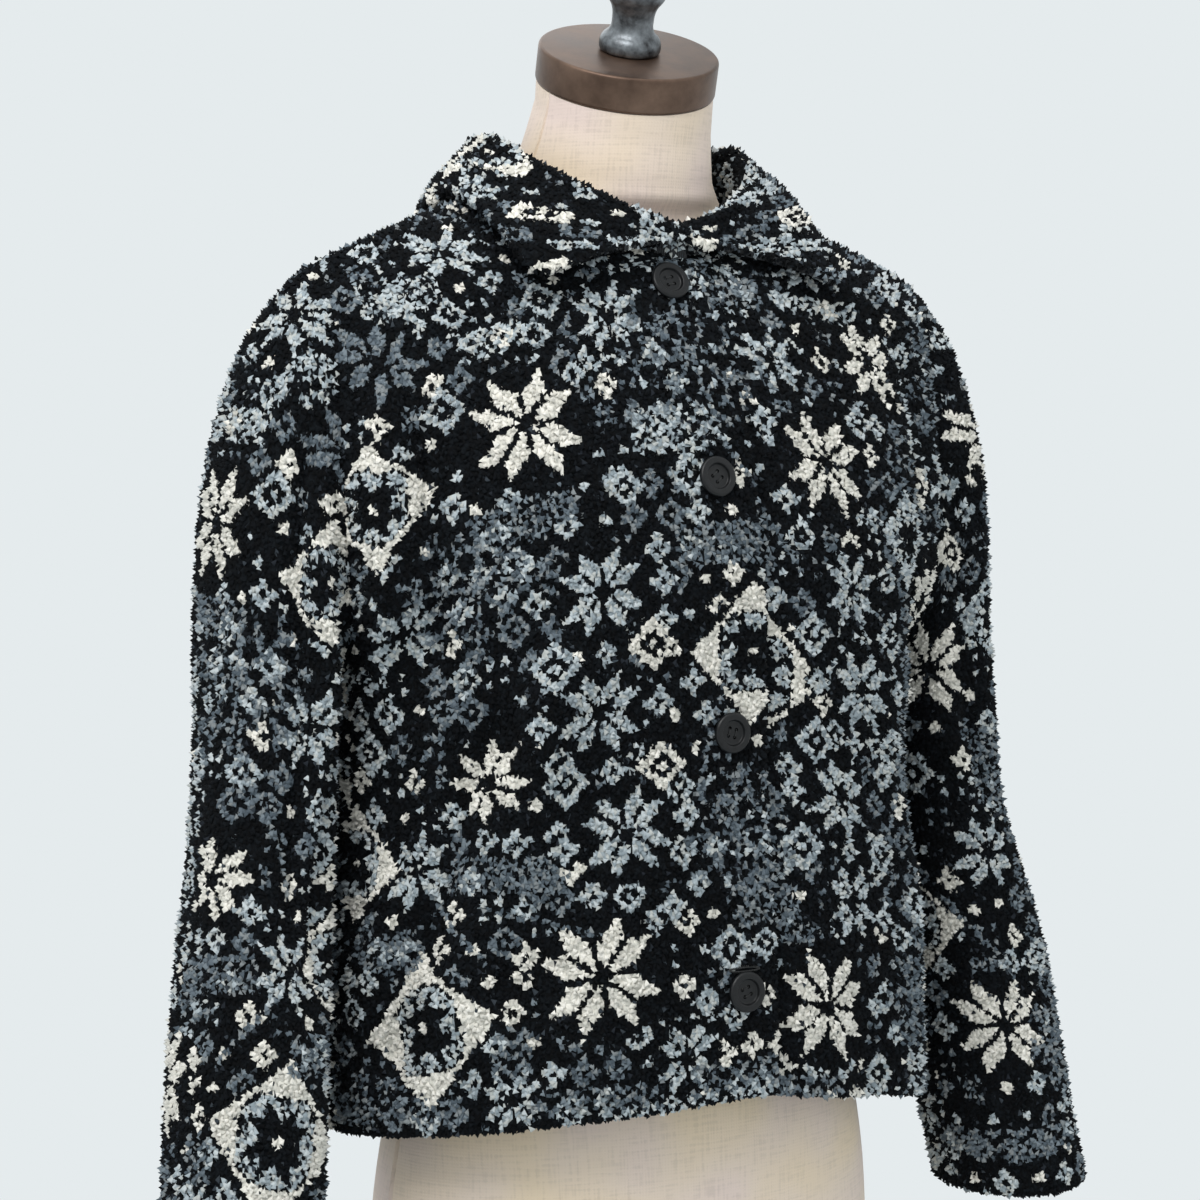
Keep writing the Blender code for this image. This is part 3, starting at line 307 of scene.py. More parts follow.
frontRows = namedRows("row yIn zIn xOut yOut zOut hxIn hzIn hxOut hyOut hzOut", [
    (0.00, -0.1410, 0.4330, 0.2030, 0.004, 0.4020, 0.128, -0.010, 0.006, -0.088, 0.006),
    (0.12, -0.1400, 0.4960, 0.2020, 0.004, 0.4740, 0.128, -0.008, 0.005, -0.087, 0.005),
    (0.24, -0.1340, 0.5610, 0.1960, 0.004, 0.5440, 0.126, -0.006, 0.004, -0.084, 0.003),
    (0.36, -0.1280, 0.6280, 0.1910, 0.004, 0.6180, 0.127, -0.003, 0.004, -0.082, 0.001),
    (0.46, -0.1270, 0.6900, 0.1950, 0.004, 0.6800, 0.130, 0.000, 0.008, -0.074, 0.000),
    (0.56, -0.1230, 0.7560, 0.2070, -0.028, 0.7180, 0.126, 0.004, 0.006, -0.050, 0.014),
    (0.65, -0.1060, 0.8380, 0.2150, -0.036, 0.7800, 0.110, 0.004, -0.008, -0.036, 0.014),
    (0.74, -0.0680, 0.9300, 0.2170, -0.034, 0.8390, 0.076, -0.004, -0.026, -0.030, 0.020),
    (0.87, -0.0300, 0.9550, 0.2160, -0.021, 0.8980, 0.046, -0.010, -0.040, -0.016, 0.020),
    (1.00, 0.0120, 0.9740, 0.2120, 0.002, 0.9270, 0.044, -0.012, -0.042, 0.000, 0.018),
])
backRows = namedRows("row yIn zIn xOut yOut zOut hxIn hzIn hxOut hyOut hzOut", [
    (0.00, 0.1270, 0.3960, 0.2030, 0.004, 0.4020, 0.122, 0.000, 0.006, 0.078, -0.004),
    (0.12, 0.1240, 0.4670, 0.2020, 0.004, 0.4740, 0.121, 0.000, 0.005, 0.076, -0.002),
    (0.24, 0.1200, 0.5400, 0.1960, 0.004, 0.5440, 0.118, 0.000, 0.004, 0.074, -0.001),
    (0.36, 0.1180, 0.6170, 0.1910, 0.004, 0.6180, 0.116, 0.000, 0.004, 0.072, 0.000),
    (0.46, 0.1200, 0.6860, 0.1950, 0.004, 0.6800, 0.118, 0.000, 0.008, 0.068, 0.000),
    (0.56, 0.1240, 0.7560, 0.2070, 0.050, 0.7180, 0.114, 0.002, 0.002, 0.040, 0.010),
    (0.65, 0.1240, 0.8400, 0.2150, 0.066, 0.7800, 0.104, 0.004, -0.012, 0.030, 0.012),
    (0.74, 0.0980, 0.9620, 0.2170, 0.060, 0.8390, 0.060, 0.000, -0.030, 0.024, 0.026),
    (0.87, 0.0600, 0.9680, 0.2160, 0.036, 0.8980, 0.050, -0.008, -0.040, 0.014, 0.022),
    (1.00, 0.0120, 0.9740, 0.2120, 0.002, 0.9270, 0.044, -0.012, -0.042, 0.000, 0.018),
])
frontSway = namedRows("z shift", [
    (0.36, 0.000),
    (0.78, 0.000),
    (0.90, -0.008),
    (0.935, -0.008),
    (0.972, 0.000),
])

# Soft folds: across runs along a row from the centre, z is the height. side is -1 for the
# wearer's right, 1 for the left and 0 for both. The long ones, which come first, are in the
# solids too. The short ones after the empty line are only here.
frontFolds = namedRows("side across z toAcross toZ width depth", [
    (-1, 0.112, 0.690, 0.196, 0.500, 0.020, 0.0120),
    (-1, 0.152, 0.640, 0.232, 0.455, 0.018, -0.0170),
    (-1, 0.206, 0.700, 0.222, 0.580, 0.015, -0.0080),
    (-1, 0.214, 0.850, 0.222, 0.690, 0.013, 0.0080),
    (-1, 0.186, 0.800, 0.190, 0.690, 0.014, -0.0060),
    (-1, 0.050, 0.700, 0.080, 0.430, 0.030, 0.0040),
    (1, 0.060, 0.760, 0.075, 0.430, 0.028, 0.0040),
    (1, 0.130, 0.680, 0.155, 0.420, 0.026, 0.0055),
    (1, 0.180, 0.620, 0.220, 0.470, 0.018, -0.0080),
    (1, 0.196, 0.850, 0.206, 0.700, 0.015, -0.0060),

    (-1, 0.132, 0.648, 0.166, 0.600, 0.011, 0.0050),
    (-1, 0.158, 0.566, 0.204, 0.520, 0.011, -0.0050),
    (-1, 0.092, 0.610, 0.118, 0.515, 0.014, -0.0035),
    (-1, 0.172, 0.480, 0.150, 0.425, 0.012, 0.0045),
    (-1, 0.148, 0.752, 0.196, 0.718, 0.011, -0.0050),
    (-1, 0.193, 0.815, 0.180, 0.650, 0.0075, -0.0090),
    (-1, 0.176, 0.636, 0.152, 0.500, 0.009, -0.0065),
    (-1, 0.120, 0.560, 0.142, 0.450, 0.009, -0.0045),
    (1, 0.160, 0.742, 0.200, 0.702, 0.011, -0.0050),
    (1, 0.112, 0.610, 0.142, 0.545, 0.013, -0.0040),
    (1, 0.178, 0.556, 0.150, 0.498, 0.011, 0.0045),
    (1, 0.092, 0.480, 0.104, 0.412, 0.013, -0.0035),
    (1, 0.186, 0.800, 0.176, 0.650, 0.008, -0.0080),
    (1, 0.132, 0.540, 0.150, 0.440, 0.009, -0.0045),
])
backFolds = namedRows("side across z toAcross toZ width depth", [
    (-1, 0.160, 0.820, 0.115, 0.440, 0.024, 0.0065),
    (-1, 0.205, 0.660, 0.180, 0.430, 0.020, -0.0080),
    (-1, 0.065, 0.700, 0.055, 0.410, 0.026, -0.0045),
    (1, 0.145, 0.800, 0.130, 0.430, 0.022, 0.0060),
    (1, 0.195, 0.700, 0.200, 0.450, 0.019, -0.0075),
    (1, 0.050, 0.640, 0.075, 0.410, 0.028, -0.0040),

    (-1, 0.118, 0.646, 0.152, 0.588, 0.012, -0.0045),
    (-1, 0.088, 0.524, 0.112, 0.430, 0.014, 0.0035),
    (-1, 0.172, 0.758, 0.200, 0.704, 0.012, -0.0045),
    (1, 0.108, 0.608, 0.142, 0.540, 0.012, -0.0040),
    (1, 0.150, 0.486, 0.168, 0.415, 0.012, 0.0045),
    (1, 0.166, 0.766, 0.196, 0.716, 0.013, -0.0050),
])
sleeveSections = namedRows("down z xLeft xRight y halfX halfY", [
    (0.00, 0.655, 0.2410, 0.2400, 0.020, 0.0370, 0.0660),
    (0.25, 0.574, 0.2520, 0.2510, 0.010, 0.0400, 0.0640),
    (0.50, 0.493, 0.2620, 0.2640, -0.006, 0.0420, 0.0620),
    (0.75, 0.412, 0.2700, 0.2755, -0.022, 0.0425, 0.0610),
    (1.00, 0.330, 0.2790, 0.2860, -0.038, 0.0425, 0.0600),
])
sleeve = dict(
    tilt=math.radians(6),
    headOut={-1: 0.80, 1: 0.66},      # how steeply the sleeve leaves the armhole, on each side
    headOutTop=0.12,
    headRound=-0.28,
    headFall=-0.60,
    headFallTop=0.23,
    leave=0.26,               # share of the way over which it still runs so
    arrive=0.36,
    axis=(0.10, -0.10, -1.0), # of the upper arm, to the side it is on
    cuffShares=(0.9, 0.925),  # between which the cuff's turned-up layer ends
)

# turn goes round the sleeve in degrees from the body's side over the front; along is 0 at the
# armhole, 1 at the upper arm and 2 at the cuff
sleeveFolds = namedRows("side turn along toTurn toAlong width depth", [
    (-1, 112, 0.30, 106, 1.10, 15, -0.0090),
    (-1, 72, 0.45, 70, 0.95, 18, 0.0080),
    (-1, 55, 1.15, 98, 1.22, 15, -0.0075),
    (-1, 160, 1.15, 104, 1.40, 16, 0.0045),
    (-1, 215, 1.20, 160, 1.62, 18, -0.0045),
    (-1, 128, 1.55, 80, 1.85, 18, -0.0040),
    (1, 84, 0.30, 88, 1.05, 16, -0.0080),
    (1, 124, 0.40, 122, 1.00, 22, 0.0045),
    (1, 180, 1.00, 140, 1.22, 16, -0.0060),
    (1, 195, 1.30, 150, 1.55, 18, 0.0050),
    (1, 112, 1.50, 70, 1.80, 18, -0.0045),
    (0, 262, 0.35, 266, 1.05, 15, -0.0080),
    (0, 300, 1.15, 250, 1.42, 16, -0.0050),
    (0, 240, 1.45, 290, 1.80, 18, -0.0040),

    (-1, 60, 0.45, 56, 1.30, 8, -0.0080),
    (-1, 92, 1.30, 58, 1.38, 8, -0.0065),
    (-1, 134, 1.17, 102, 1.30, 8, -0.0065),
    (-1, 142, 1.76, 112, 1.88, 11, -0.0035),
    (1, 86, 1.12, 122, 1.22, 8, -0.0060),
    (1, 58, 1.38, 92, 1.50, 11, -0.0040),
    (0, 228, 1.18, 262, 1.30, 10, -0.0045),
    (0, 282, 1.60, 248, 1.72, 11, -0.0040),
])
collarSections = namedRows("share rise out edgeX edgeY edgeZ", [
    (0.00, 0.0140, 0.0020, 0.1030, -0.0760, 0.9150),
    (0.18, 0.0170, 0.0030, 0.1150, -0.0600, 0.9240),
    (0.36, 0.0230, 0.0040, 0.1180, -0.0320, 0.9450),
    (0.54, 0.0270, 0.0040, 0.1170, 0.0060, 0.9640),
    (0.70, 0.0330, 0.0020, 0.1100, 0.0560, 0.9570),
    (0.85, 0.0370, 0.0020, 0.0720, 0.1060, 0.9440),
    (1.00, 0.0370, 0.0020, 0.0000, 0.1260, 0.9380),
])
collar = dict(
    foldRadius=0.0023,
    foldTurns=(30, 60, 90, 120, 150),
    standPoints=5,
    leafPoints=20,
    outward=0.6,              # how much the leaf runs straight out, and for the rest to its edge
    leave=(0.25, 0.004, 0.003),       # its curve at the fold: share of the run, drop, way out
    arrive=(0.33, 0.008),     # and at the edge: share of the run, rise
    endGap=0.0008,
    lift=0.0016,              # how far it stays off the body
    puff={-1: 0.012, 1: 0.003},       # and how much more towards each front end
    puffEnd=0.75,             # share of the way to the centre back at which that ends
    fullAt=0.6,               # share of the leaf at which it is at its fullest
    doubled=0.0026,           # how much fuller the leaf is towards its edge, with its two layers
)


def foldLift(folds, side, keys, place):
    first, second, scale = keys
    total = np.zeros(place.shape[:-1])
    for fold in folds:
        if fold["side"] not in (0, side):
            continue
        a = np.array([fold[first], fold[second] * scale])
        b = np.array([fold["to" + first.capitalize()], fold["to" + second.capitalize()] * scale])
        along = b - a
        flatPlace = place * [1.0, scale]
        share = ((flatPlace - a) @ along) / (along @ along)
        nearest = a + np.clip(share, 0, 1)[..., None] * along
        gap = np.linalg.norm(flatPlace - nearest, axis=-1)
        total += fold["depth"] * np.exp(-((gap / fold["width"]) ** 2))
    return total


def bodyRows():
    below = np.linspace(0, cloth["underarmRow"], cloth["rowsBelowArm"] + 1)
    opening = np.linspace(cloth["underarmRow"], cloth["neckRow"], cloth["rowsOnOpening"] + 1)
    neckline = np.linspace(cloth["neckRow"], 1, cloth["rowsOnNeckline"] + 1)
    return np.concatenate([below, opening[1:], neckline[1:]])


def necklineStart(table, row, isFront):
    corner = smoothColumn(table, "row", "yIn", cloth["neckRow"])
    height = smoothColumn(table, "row", "zIn", cloth["neckRow"])
    top = table[-1]["zIn"]
    step = (row - cloth["neckRow"]) / (1 - cloth["neckRow"])
    if isFront:
        first = 1 / 6         # the overlap's top edge, from its corner to the centre
        if step <= first:
            return np.array([-cloth["overlap"] * (1 - step / first), corner, height])
        step = (step - first) / (1 - first)
    turn = step * math.pi / 2
    return np.array([
        cloth["neckHalfWidth"] * math.sin(turn),
        cloth["neckCentreY"] + (corner - cloth["neckCentreY"]) * math.cos(turn),
        height + (top - height) * step ** cloth["neckRise"],
    ])


def rowCurve(table, row, shares, isFront):
    look = readTable(table, row)
    start = np.array([-cloth["overlap"] if isFront else 0.0, look["yIn"], look["zIn"]])
    if row > cloth["neckRow"]:
        start = necklineStart(table, row, isFront)
    end = np.array([look["xOut"], look["yOut"], look["zOut"]])
    reach = look["hxIn"] + (cloth["overlap"] if isFront and row <= cloth["neckRow"] else 0.0)
    return bezier(start, start + [reach, 0.0, look["hzIn"]],
                  end + [look["hxOut"], look["hyOut"], look["hzOut"]], end, shares)


def bodyHalf(table, folds, side, rows, shares, wall):
    isFront = table is frontRows
    points = np.array([rowCurve(table, row, shares, isFront) for row in rows])
    across = lengthAlong(points, 1) + points[:, :1, 0]
    lift = foldLift(folds, side, ("across", "z", 0.8), np.stack([across, points[:, :, 2]], axis=2))
    lift *= ease((1 - rows) / cloth["foldFade"])[:, None]
    if isFront:
        lift *= ease((across - cloth["overlap"]) / cloth["foldStart"])
    facing = 1 if isFront else -1
    normal = gridNormals(points) * facing
    if isFront and side == 1:
        # the left front lies in under the right one, and comes out beyond it
        beyond = ease((points[:, :, 0] - cloth["overlap"] - cloth["beyond"][0]) / cloth["beyond"][1])
        lift -= (wall[:, None] + cloth["underlapGap"]) * (1 - beyond)
        lift -= cloth["underlapBow"] * ease((cloth["overlap"] - points[:, :, 0]) / (2 * cloth["overlap"]))
    points = points + normal * lift[:, :, None]
    points[:, :, 0] *= side
    points[:, :, 2] -= cloth["hemTilt"] * points[:, :, 0] * (1 - ease(rows / cloth["tiltRows"]))[:, None]
    if isFront:
        sway = smoothColumn(frontSway, "z", "shift", points[:, :, 2])
        points[:, :, 0] += sway * np.exp(-((points[:, :, 0] / cloth["swayWidth"]) ** 2))
    return points, across


def sleeveRing(share, turns, side):
    look = readTable(sleeveSections, share)
    x = -look["halfX"] * np.cos(turns)
    y = -look["halfY"] * np.sin(turns)
    z = x * math.tan(sleeve["tilt"])
    middle = look["xLeft"] if side == 1 else look["xRight"]
    return np.stack([(middle + x) * side, look["y"] + y, look["z"] + z], axis=1)


def sleevePoints(armhole, side, headShares, downShares):
    top = int(np.argmax(armhole[:, 2]))
    closed = np.concatenate([armhole, armhole[:1]])
    lengths = np.concatenate([[0], np.cumsum(np.linalg.norm(np.diff(closed, axis=0), axis=1))])
    front = lengths[:top + 1] / lengths[top] * math.pi
    back = math.pi + (lengths[top:-1] - lengths[top]) / (lengths[-1] - lengths[top]) * math.pi
    turns = np.concatenate([front, back[1:]])
    first = sleeveRing(0, turns, side)
    height = (armhole[:, 2] - armhole[:, 2].min()) / np.ptp(armhole[:, 2])
    out = np.stack([(sleeve["headOut"][side] + sleeve["headOutTop"] * height) * side,
                    sleeve["headRound"] * np.sin(turns),
                    sleeve["headFall"] + sleeve["headFallTop"] * height], axis=1)
    reach = np.linalg.norm(first - armhole, axis=1)[:, None]
    leave = armhole + unit(out) * reach * sleeve["leave"]
    arrive = first - np.array(sleeve["axis"]) * [side, 1, 1] * reach * sleeve["arrive"]
    head = np.array([
        bezier(armhole[i], leave[i], arrive[i], first[i], headShares) for i in range(len(armhole))
    ]).transpose(1, 0, 2)
    lower = np.array([sleeveRing(share, turns, side) for share in downShares[1:]])
    points = np.concatenate([head, lower])
    along = np.concatenate([headShares, 1 + np.array(downShares[1:])])
    place = np.stack(np.broadcast_arrays(np.degrees(turns)[None, :], along[:, None]), axis=2)
    lift = foldLift(sleeveFolds, side, ("turn", "along", 70), place)
    lift *= ease(along / 0.25)[:, None]
    lift *= ease((reach[:, 0] - 0.02) / 0.05)[None, :]
    normal = gridNormals(points, closed=True) * -side
    return points + normal * lift[:, :, None]


def meet(a, b, spots):
    for spot in spots:
        middle = (a[spot] + b[spot]) / 2
        a[spot] = middle
        b[spot] = middle


def shareNormals(grids):
    sums = {}
    for grid in grids:
        for point, normal in zip(grid["outer"].reshape(-1, 3), grid["normal"].reshape(-1, 3)):
            spot = tuple(np.round(point, 6))
            sums[spot] = sums.get(spot, 0) + normal
    for grid in grids:
        flat = [sums[tuple(np.round(point, 6))] for point in grid["outer"].reshape(-1, 3)]
        grid["normal"] = unit(np.array(flat)).reshape(grid["outer"].shape)


def makeGrid(outer, facing, wall, flat, closed=False):
    # flat holds each point's place on the cloth laid out, in metres
    return dict(outer=outer, normal=gridNormals(outer, closed) * facing, turn=facing,
                thick=wall * np.ones(outer.shape[:2]), flat=flat, closed=closed)


def clothGrids():
    rows = bodyRows()
    under = int(np.argmin(abs(rows - cloth["underarmRow"])))
    shares = np.linspace(0, 1, cloth["columns"] + 1)
    hem = cloth["hemRows"]
    hemShare = 1 - ease((rows - hem[1]) / (hem[2] - hem[1]))
    wall = cloth["thick"] + cloth["turnedHem"] * hemShare
    fronts = {}
    backs = {}
    across = {}
    for side in (-1, 1):
        fronts[side], across["front", side] = bodyHalf(frontRows, frontFolds, side, rows, shares, wall)
        backs[side], across["back", side] = bodyHalf(backRows, backFolds, side, rows, shares, wall)
        meet(fronts[side], backs[side], [(i, -1) for i in range(under + 1)])
        meet(fronts[side], backs[side], [(len(rows) - 1, j) for j in range(len(shares))])
    meet(backs[-1], backs[1], [(i, 0) for i in range(len(rows) - cloth["rowsOnNeckline"])])
    grids = {}
    headShares = np.linspace(0, 1, cloth["headRings"] + 1)
    downShares = np.linspace(0, 1, cloth["lowerRings"] + 1)
    cuffs = sleeve["cuffShares"]
    last = len(rows) - 1
    for side, word in ((-1, "right"), (1, "left")):
        for name, points, facing in (("front", fronts[side], side), ("back", backs[side], -side)):
            flat = np.stack([across[name, side] * side, lengthAlong(points, 0)], axis=2)
            grids[name + "_" + word] = makeGrid(points, facing, wall[:, None], flat)
        for i in range(len(rows) - cloth["rowsOnNeckline"]):
            grids["back_" + word]["normal"][i, 0, 0] = 0
        armhole = np.concatenate([fronts[side][under:, -1], backs[side][under + 1:last, -1][::-1]])
        points = sleevePoints(armhole, side, headShares, downShares)
        cuff = 1 - ease((cuffs[1] - downShares) / (cuffs[1] - cuffs[0]))
        cuff = np.concatenate([np.zeros(len(points) - len(cuff)), cuff])[:, None]
        down = lengthAlong(points, 0)
        about = lengthAlong(points, 1)
        middle = len(armhole) / 2
        turnShare = (np.arange(len(armhole)) - middle) / len(armhole)
        width = about[-1, -1] * len(armhole) / (len(armhole) - 1)
        flat = np.stack(np.broadcast_arrays(turnShare[None, :] * width * -side,
                                            down[-1:] - down), axis=2)
        grids["sleeve_" + word] = makeGrid(points, -side, cloth["thick"] + cloth["turnedHem"] * cuff,
                                           flat, closed=True)
    shareNormals(list(grids.values()))
    for grid in grids.values():
        grid["inner"] = grid["outer"] - grid["normal"] * grid["thick"][:, :, None]
    return grids


def necklineStations(grids):
    stations = []
    for side, word in ((-1, "right"), (1, "left")):
        front = grids["front_" + word]
        back = grids["back_" + word]
        rows = front["outer"].shape[0]
        count = cloth["rowsOnNeckline"]
        half = [(front, i) for i in range(rows - count, rows)]
        half += [(back, i) for i in range(rows - 2, rows - count - 2, -1)]
        points = [dict(out=g["outer"][i, 0], into=g["inner"][i, 0], side=side) for g, i in half]
        for k, point in enumerate(points):
            point["share"] = k / (len(points) - 1)
        stations.append(points)
    return stations[0] + stations[1][-2::-1]


def liftOff(point, tree, space):
    for _ in range(4):
        spot, normal, _, gap = tree.find_nearest(point, 0.03)
        if spot is None:
            break
        outside = (point - spot).dot(normal)
        if outside >= 0 and gap >= space:
            break
        point = point + normal * (space - outside)
    return point


def panelTree(grids, names):
    vertices = []
    faces = []
    for name in names:
        points = grids[name]["outer"]
        faces += cellFaces(*points.shape[:2], grids[name]["turn"] < 0, len(vertices)).tolist()
        vertices += points.reshape(-1, 3).tolist()
    return BVHTree.FromPolygons(vertices, faces)


def collarGrid(grids):
    # the visible side is the outer one here: from the neckline up the stand, over and down the leaf
    stand = np.linspace(0, 1, collar["standPoints"])
    turns = np.radians(collar["foldTurns"])
    leafShares = np.linspace(0, 1, collar["leafPoints"])
    leaveRun, leaveDrop, leaveOut = collar["leave"]
    edgeRun, edgeRise = collar["arrive"]
    firstLeaf = len(stand) + len(turns)
    stations = necklineStations(grids)
    lines = []
    for station in stations:
        look = readTable(collarSections, station["share"])
        foot = station["out"]
        edge = np.array([look["edgeX"] * station["side"], look["edgeY"], look["edgeZ"]])
        radial = unit(np.array([foot[0], foot[1] - cloth["neckCentreY"], 0.0]))
        towards = unit((edge - foot) * [1, 1, 0])
        away = unit(collar["outward"] * radial + (1 - collar["outward"]) * towards)
        up = np.array([0.0, 0.0, 1.0])
        fold = foot + radial * look["out"] + up * look["rise"]
        start = fold - away * collar["foldRadius"]
        rise = [foot + (start - foot) * t for t in stand]
        turn = [fold + collar["foldRadius"] * (up * math.sin(a) - away * math.cos(a)) for a in turns]
        leave = fold + away * collar["foldRadius"]
        run = edge - leave
        drop = leave - up * leaveDrop + run * leaveRun + away * leaveOut
        near = edge - run * edgeRun + up * edgeRise
        lines.append(np.concatenate([rise, turn, bezier(leave, drop, near, edge, leafShares)]))
    hidden = np.array(lines)
    tree = panelTree(grids, ("front_right", "front_left", "back_right", "back_left"))
    middle = len(hidden) // 2
    for k in range(len(hidden)):
        for j in range(firstLeaf + 1, hidden.shape[1]):
            step = (j - firstLeaf) / (hidden.shape[1] - 1 - firstLeaf)
            puff = collar["puff"][-1 if k < middle else 1]
            puff *= ease(step / collar["fullAt"]) * ease((collar["puffEnd"] - stations[k]["share"]) * 1.6)
            hidden[k, j] = liftOff(Vector(hidden[k, j]), tree, collar["lift"] + puff)
    normal = -gridNormals(hidden)
    leafCount = hidden.shape[1] - firstLeaf
    fuller = ease((np.arange(hidden.shape[1]) - firstLeaf) / (collar["fullAt"] * leafCount))
    visible = hidden + normal * (cloth["thick"] + collar["doubled"] * fuller)[None, :, None]
    for k, station in enumerate(stations):
        visible[k, 0] = station["into"]
        lean = unit(station["into"] - station["out"])
        visible[k, 1] = hidden[k, 1] + unit(lean + normal[k, 1]) * cloth["thick"]
    for points in (hidden, visible):
        for end, beside in ((0, 1), (-1, -2)):
            points[end] += unit(points[beside] - points[end]) * collar["endGap"]
    outward = unit(visible - hidden)
    flat = np.stack([lengthAlong(visible, 0), lengthAlong(visible, 1)], axis=2)
    flat[:, :, 0] -= flat[middle, :, 0].mean()
    return dict(outer=visible, inner=hidden, normal=outward, turn=-1, closed=False, flat=flat,
                thick=np.full(visible.shape[:2], cloth["thick"]))


grids = clothGrids()
grids["collar"] = collarGrid(grids)
print("cloth shaped:", {name: grid["outer"].shape[:2] for name, grid in grids.items()})


# the knitted backing of each piece: a thin shell under the pile

def knitMaterial():
    # the fleece's knitted back: fine wales of polyester yarn, matt and soft, dark from its dye
    wale = 0.0016
    material, tree, shader = newMaterial("knittedFleeceBack", "#1b1d20", 0.95, Sheen_Weight=0.2)
    flat = addNode(tree, "ShaderNodeUVMap", uv_map="clothMetres").outputs["UV"]
    wales = addNode(tree, "ShaderNodeTexWave", {"Scale": 1 / math.pi / wale, "Distortion": 1.5,
                                                "Detail": 2, "Detail Scale": 2},
                    {"Vector": flat}, bands_direction="X")
    fuzz = addNode(tree, "ShaderNodeTexNoise", {"Scale": 700, "Detail": 3}, {"Vector": flat})
    both = addNode(tree, "ShaderNodeMath", {}, {0: wales.outputs["Fac"], 1: fuzz.outputs["Fac"]},
                   operation="MULTIPLY").outputs[0]
    addNode(tree, "ShaderNodeValToRGB", {}, {"Fac": both}, shader.inputs["Base Color"],
            [(0.1, "#101114"), (0.6, "#2a2d31")])
    addNode(tree, "ShaderNodeBump", {"Strength": 0.6, "Distance": 0.0006}, {"Height": both},
            shader.inputs["Normal"])
    return material


def edgeLines(grid, edge):
    # the points on an edge of a grid, and those beside it
    below = slice(0, grid["outer"].shape[0] - cloth["rowsOnNeckline"])
    whole = slice(None)
    return {"hem": ((0, whole), (1, whole)), "end": ((-1, whole), (-2, whole)),
            "opening": ((below, 0), (below, 1)), "leaf": ((whole, -1), (whole, -2))}[edge]


def stripEdge(grid, points):
    # pulls the backing in a little where the cloth ends, so that the pile rounds the edge
    moved = points.copy()
    for edge in grid["free"]:
        at, beside = edgeLines(grid, edge)
        moved[at] += unit(moved[beside] - moved[at]) * cloth["backingPull"]
    return moved


def shellMesh(name, parts):
    # one closed thin wall from grids of outer and inner points that share their seam points
    spots = {}
    outer = []
    inner = []
    places = []
    faces = []
    for grid in parts:
        top = stripEdge(grid, grid["outer"] - grid["normal"] * cloth["backingDepth"])
        under = stripEdge(grid, grid["inner"])
        rows, columns = top.shape[:2]
        ids = np.zeros((rows, columns), dtype=int)
        for i in range(rows):
            for j in range(columns):
                spot = tuple(np.round(grid["outer"][i, j], 6))
                if spot not in spots:
                    spots[spot] = len(outer)
                    outer.append(top[i, j])
                    inner.append(under[i, j])
                    places.append(grid["flat"][i, j])
                ids[i, j] = spots[spot]
        if grid["closed"]:
            ids = comeRound(ids)
        for i in range(rows - 1):
            for j in range(ids.shape[1] - 1):
                corners = (ids[i, j], ids[i, j + 1], ids[i + 1, j + 1], ids[i + 1, j])
                face = corners if grid["turn"] > 0 else corners[::-1]
                if len(set(face)) == 4:
                    faces.append(face)
    count = len(outer)
    used = {(a, b) for face in faces for a, b in zip(face, face[1:] + face[:1])}
    innerFaces = [tuple(i + count for i in reversed(face)) for face in faces]
    rims = [(b, a, a + count, b + count) for a, b in used if (b, a) not in used]
    mesh = bpy.data.meshes.new(name)
    mesh.from_pydata([tuple(p) for p in outer + inner], [], faces + innerFaces + sorted(rims))
    layer = mesh.uv_layers.new(name="clothMetres")
    corner = np.zeros(len(mesh.loops), dtype=np.int32)
    mesh.loops.foreach_get("vertex_index", corner)
    layer.data.foreach_set("uv", np.array(places + places)[corner].ravel())
    return mesh


freeEdges = {"front": ("hem", "opening"), "back": ("hem",), "sleeve": ("end",), "collar": ("leaf",)}
for name, grid in grids.items():
    grid["free"] = freeEdges[name.split("_")[0]]

knitBack = knitMaterial()
sheetParts = {name: [name] for name in ("front_right", "front_left", "back", "sleeve_right", "sleeve_left",
                                        "collar")}
sheetParts["back"] = ["back_right", "back_left"]
for node, names in sheetParts.items():
    mesh = shellMesh("backing_" + node, [grids[name] for name in names])
    piece = finishPiece("backing_" + node, mesh, knitBack)
    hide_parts(node)
    print("backing of", node, len(mesh.polygons), "faces")
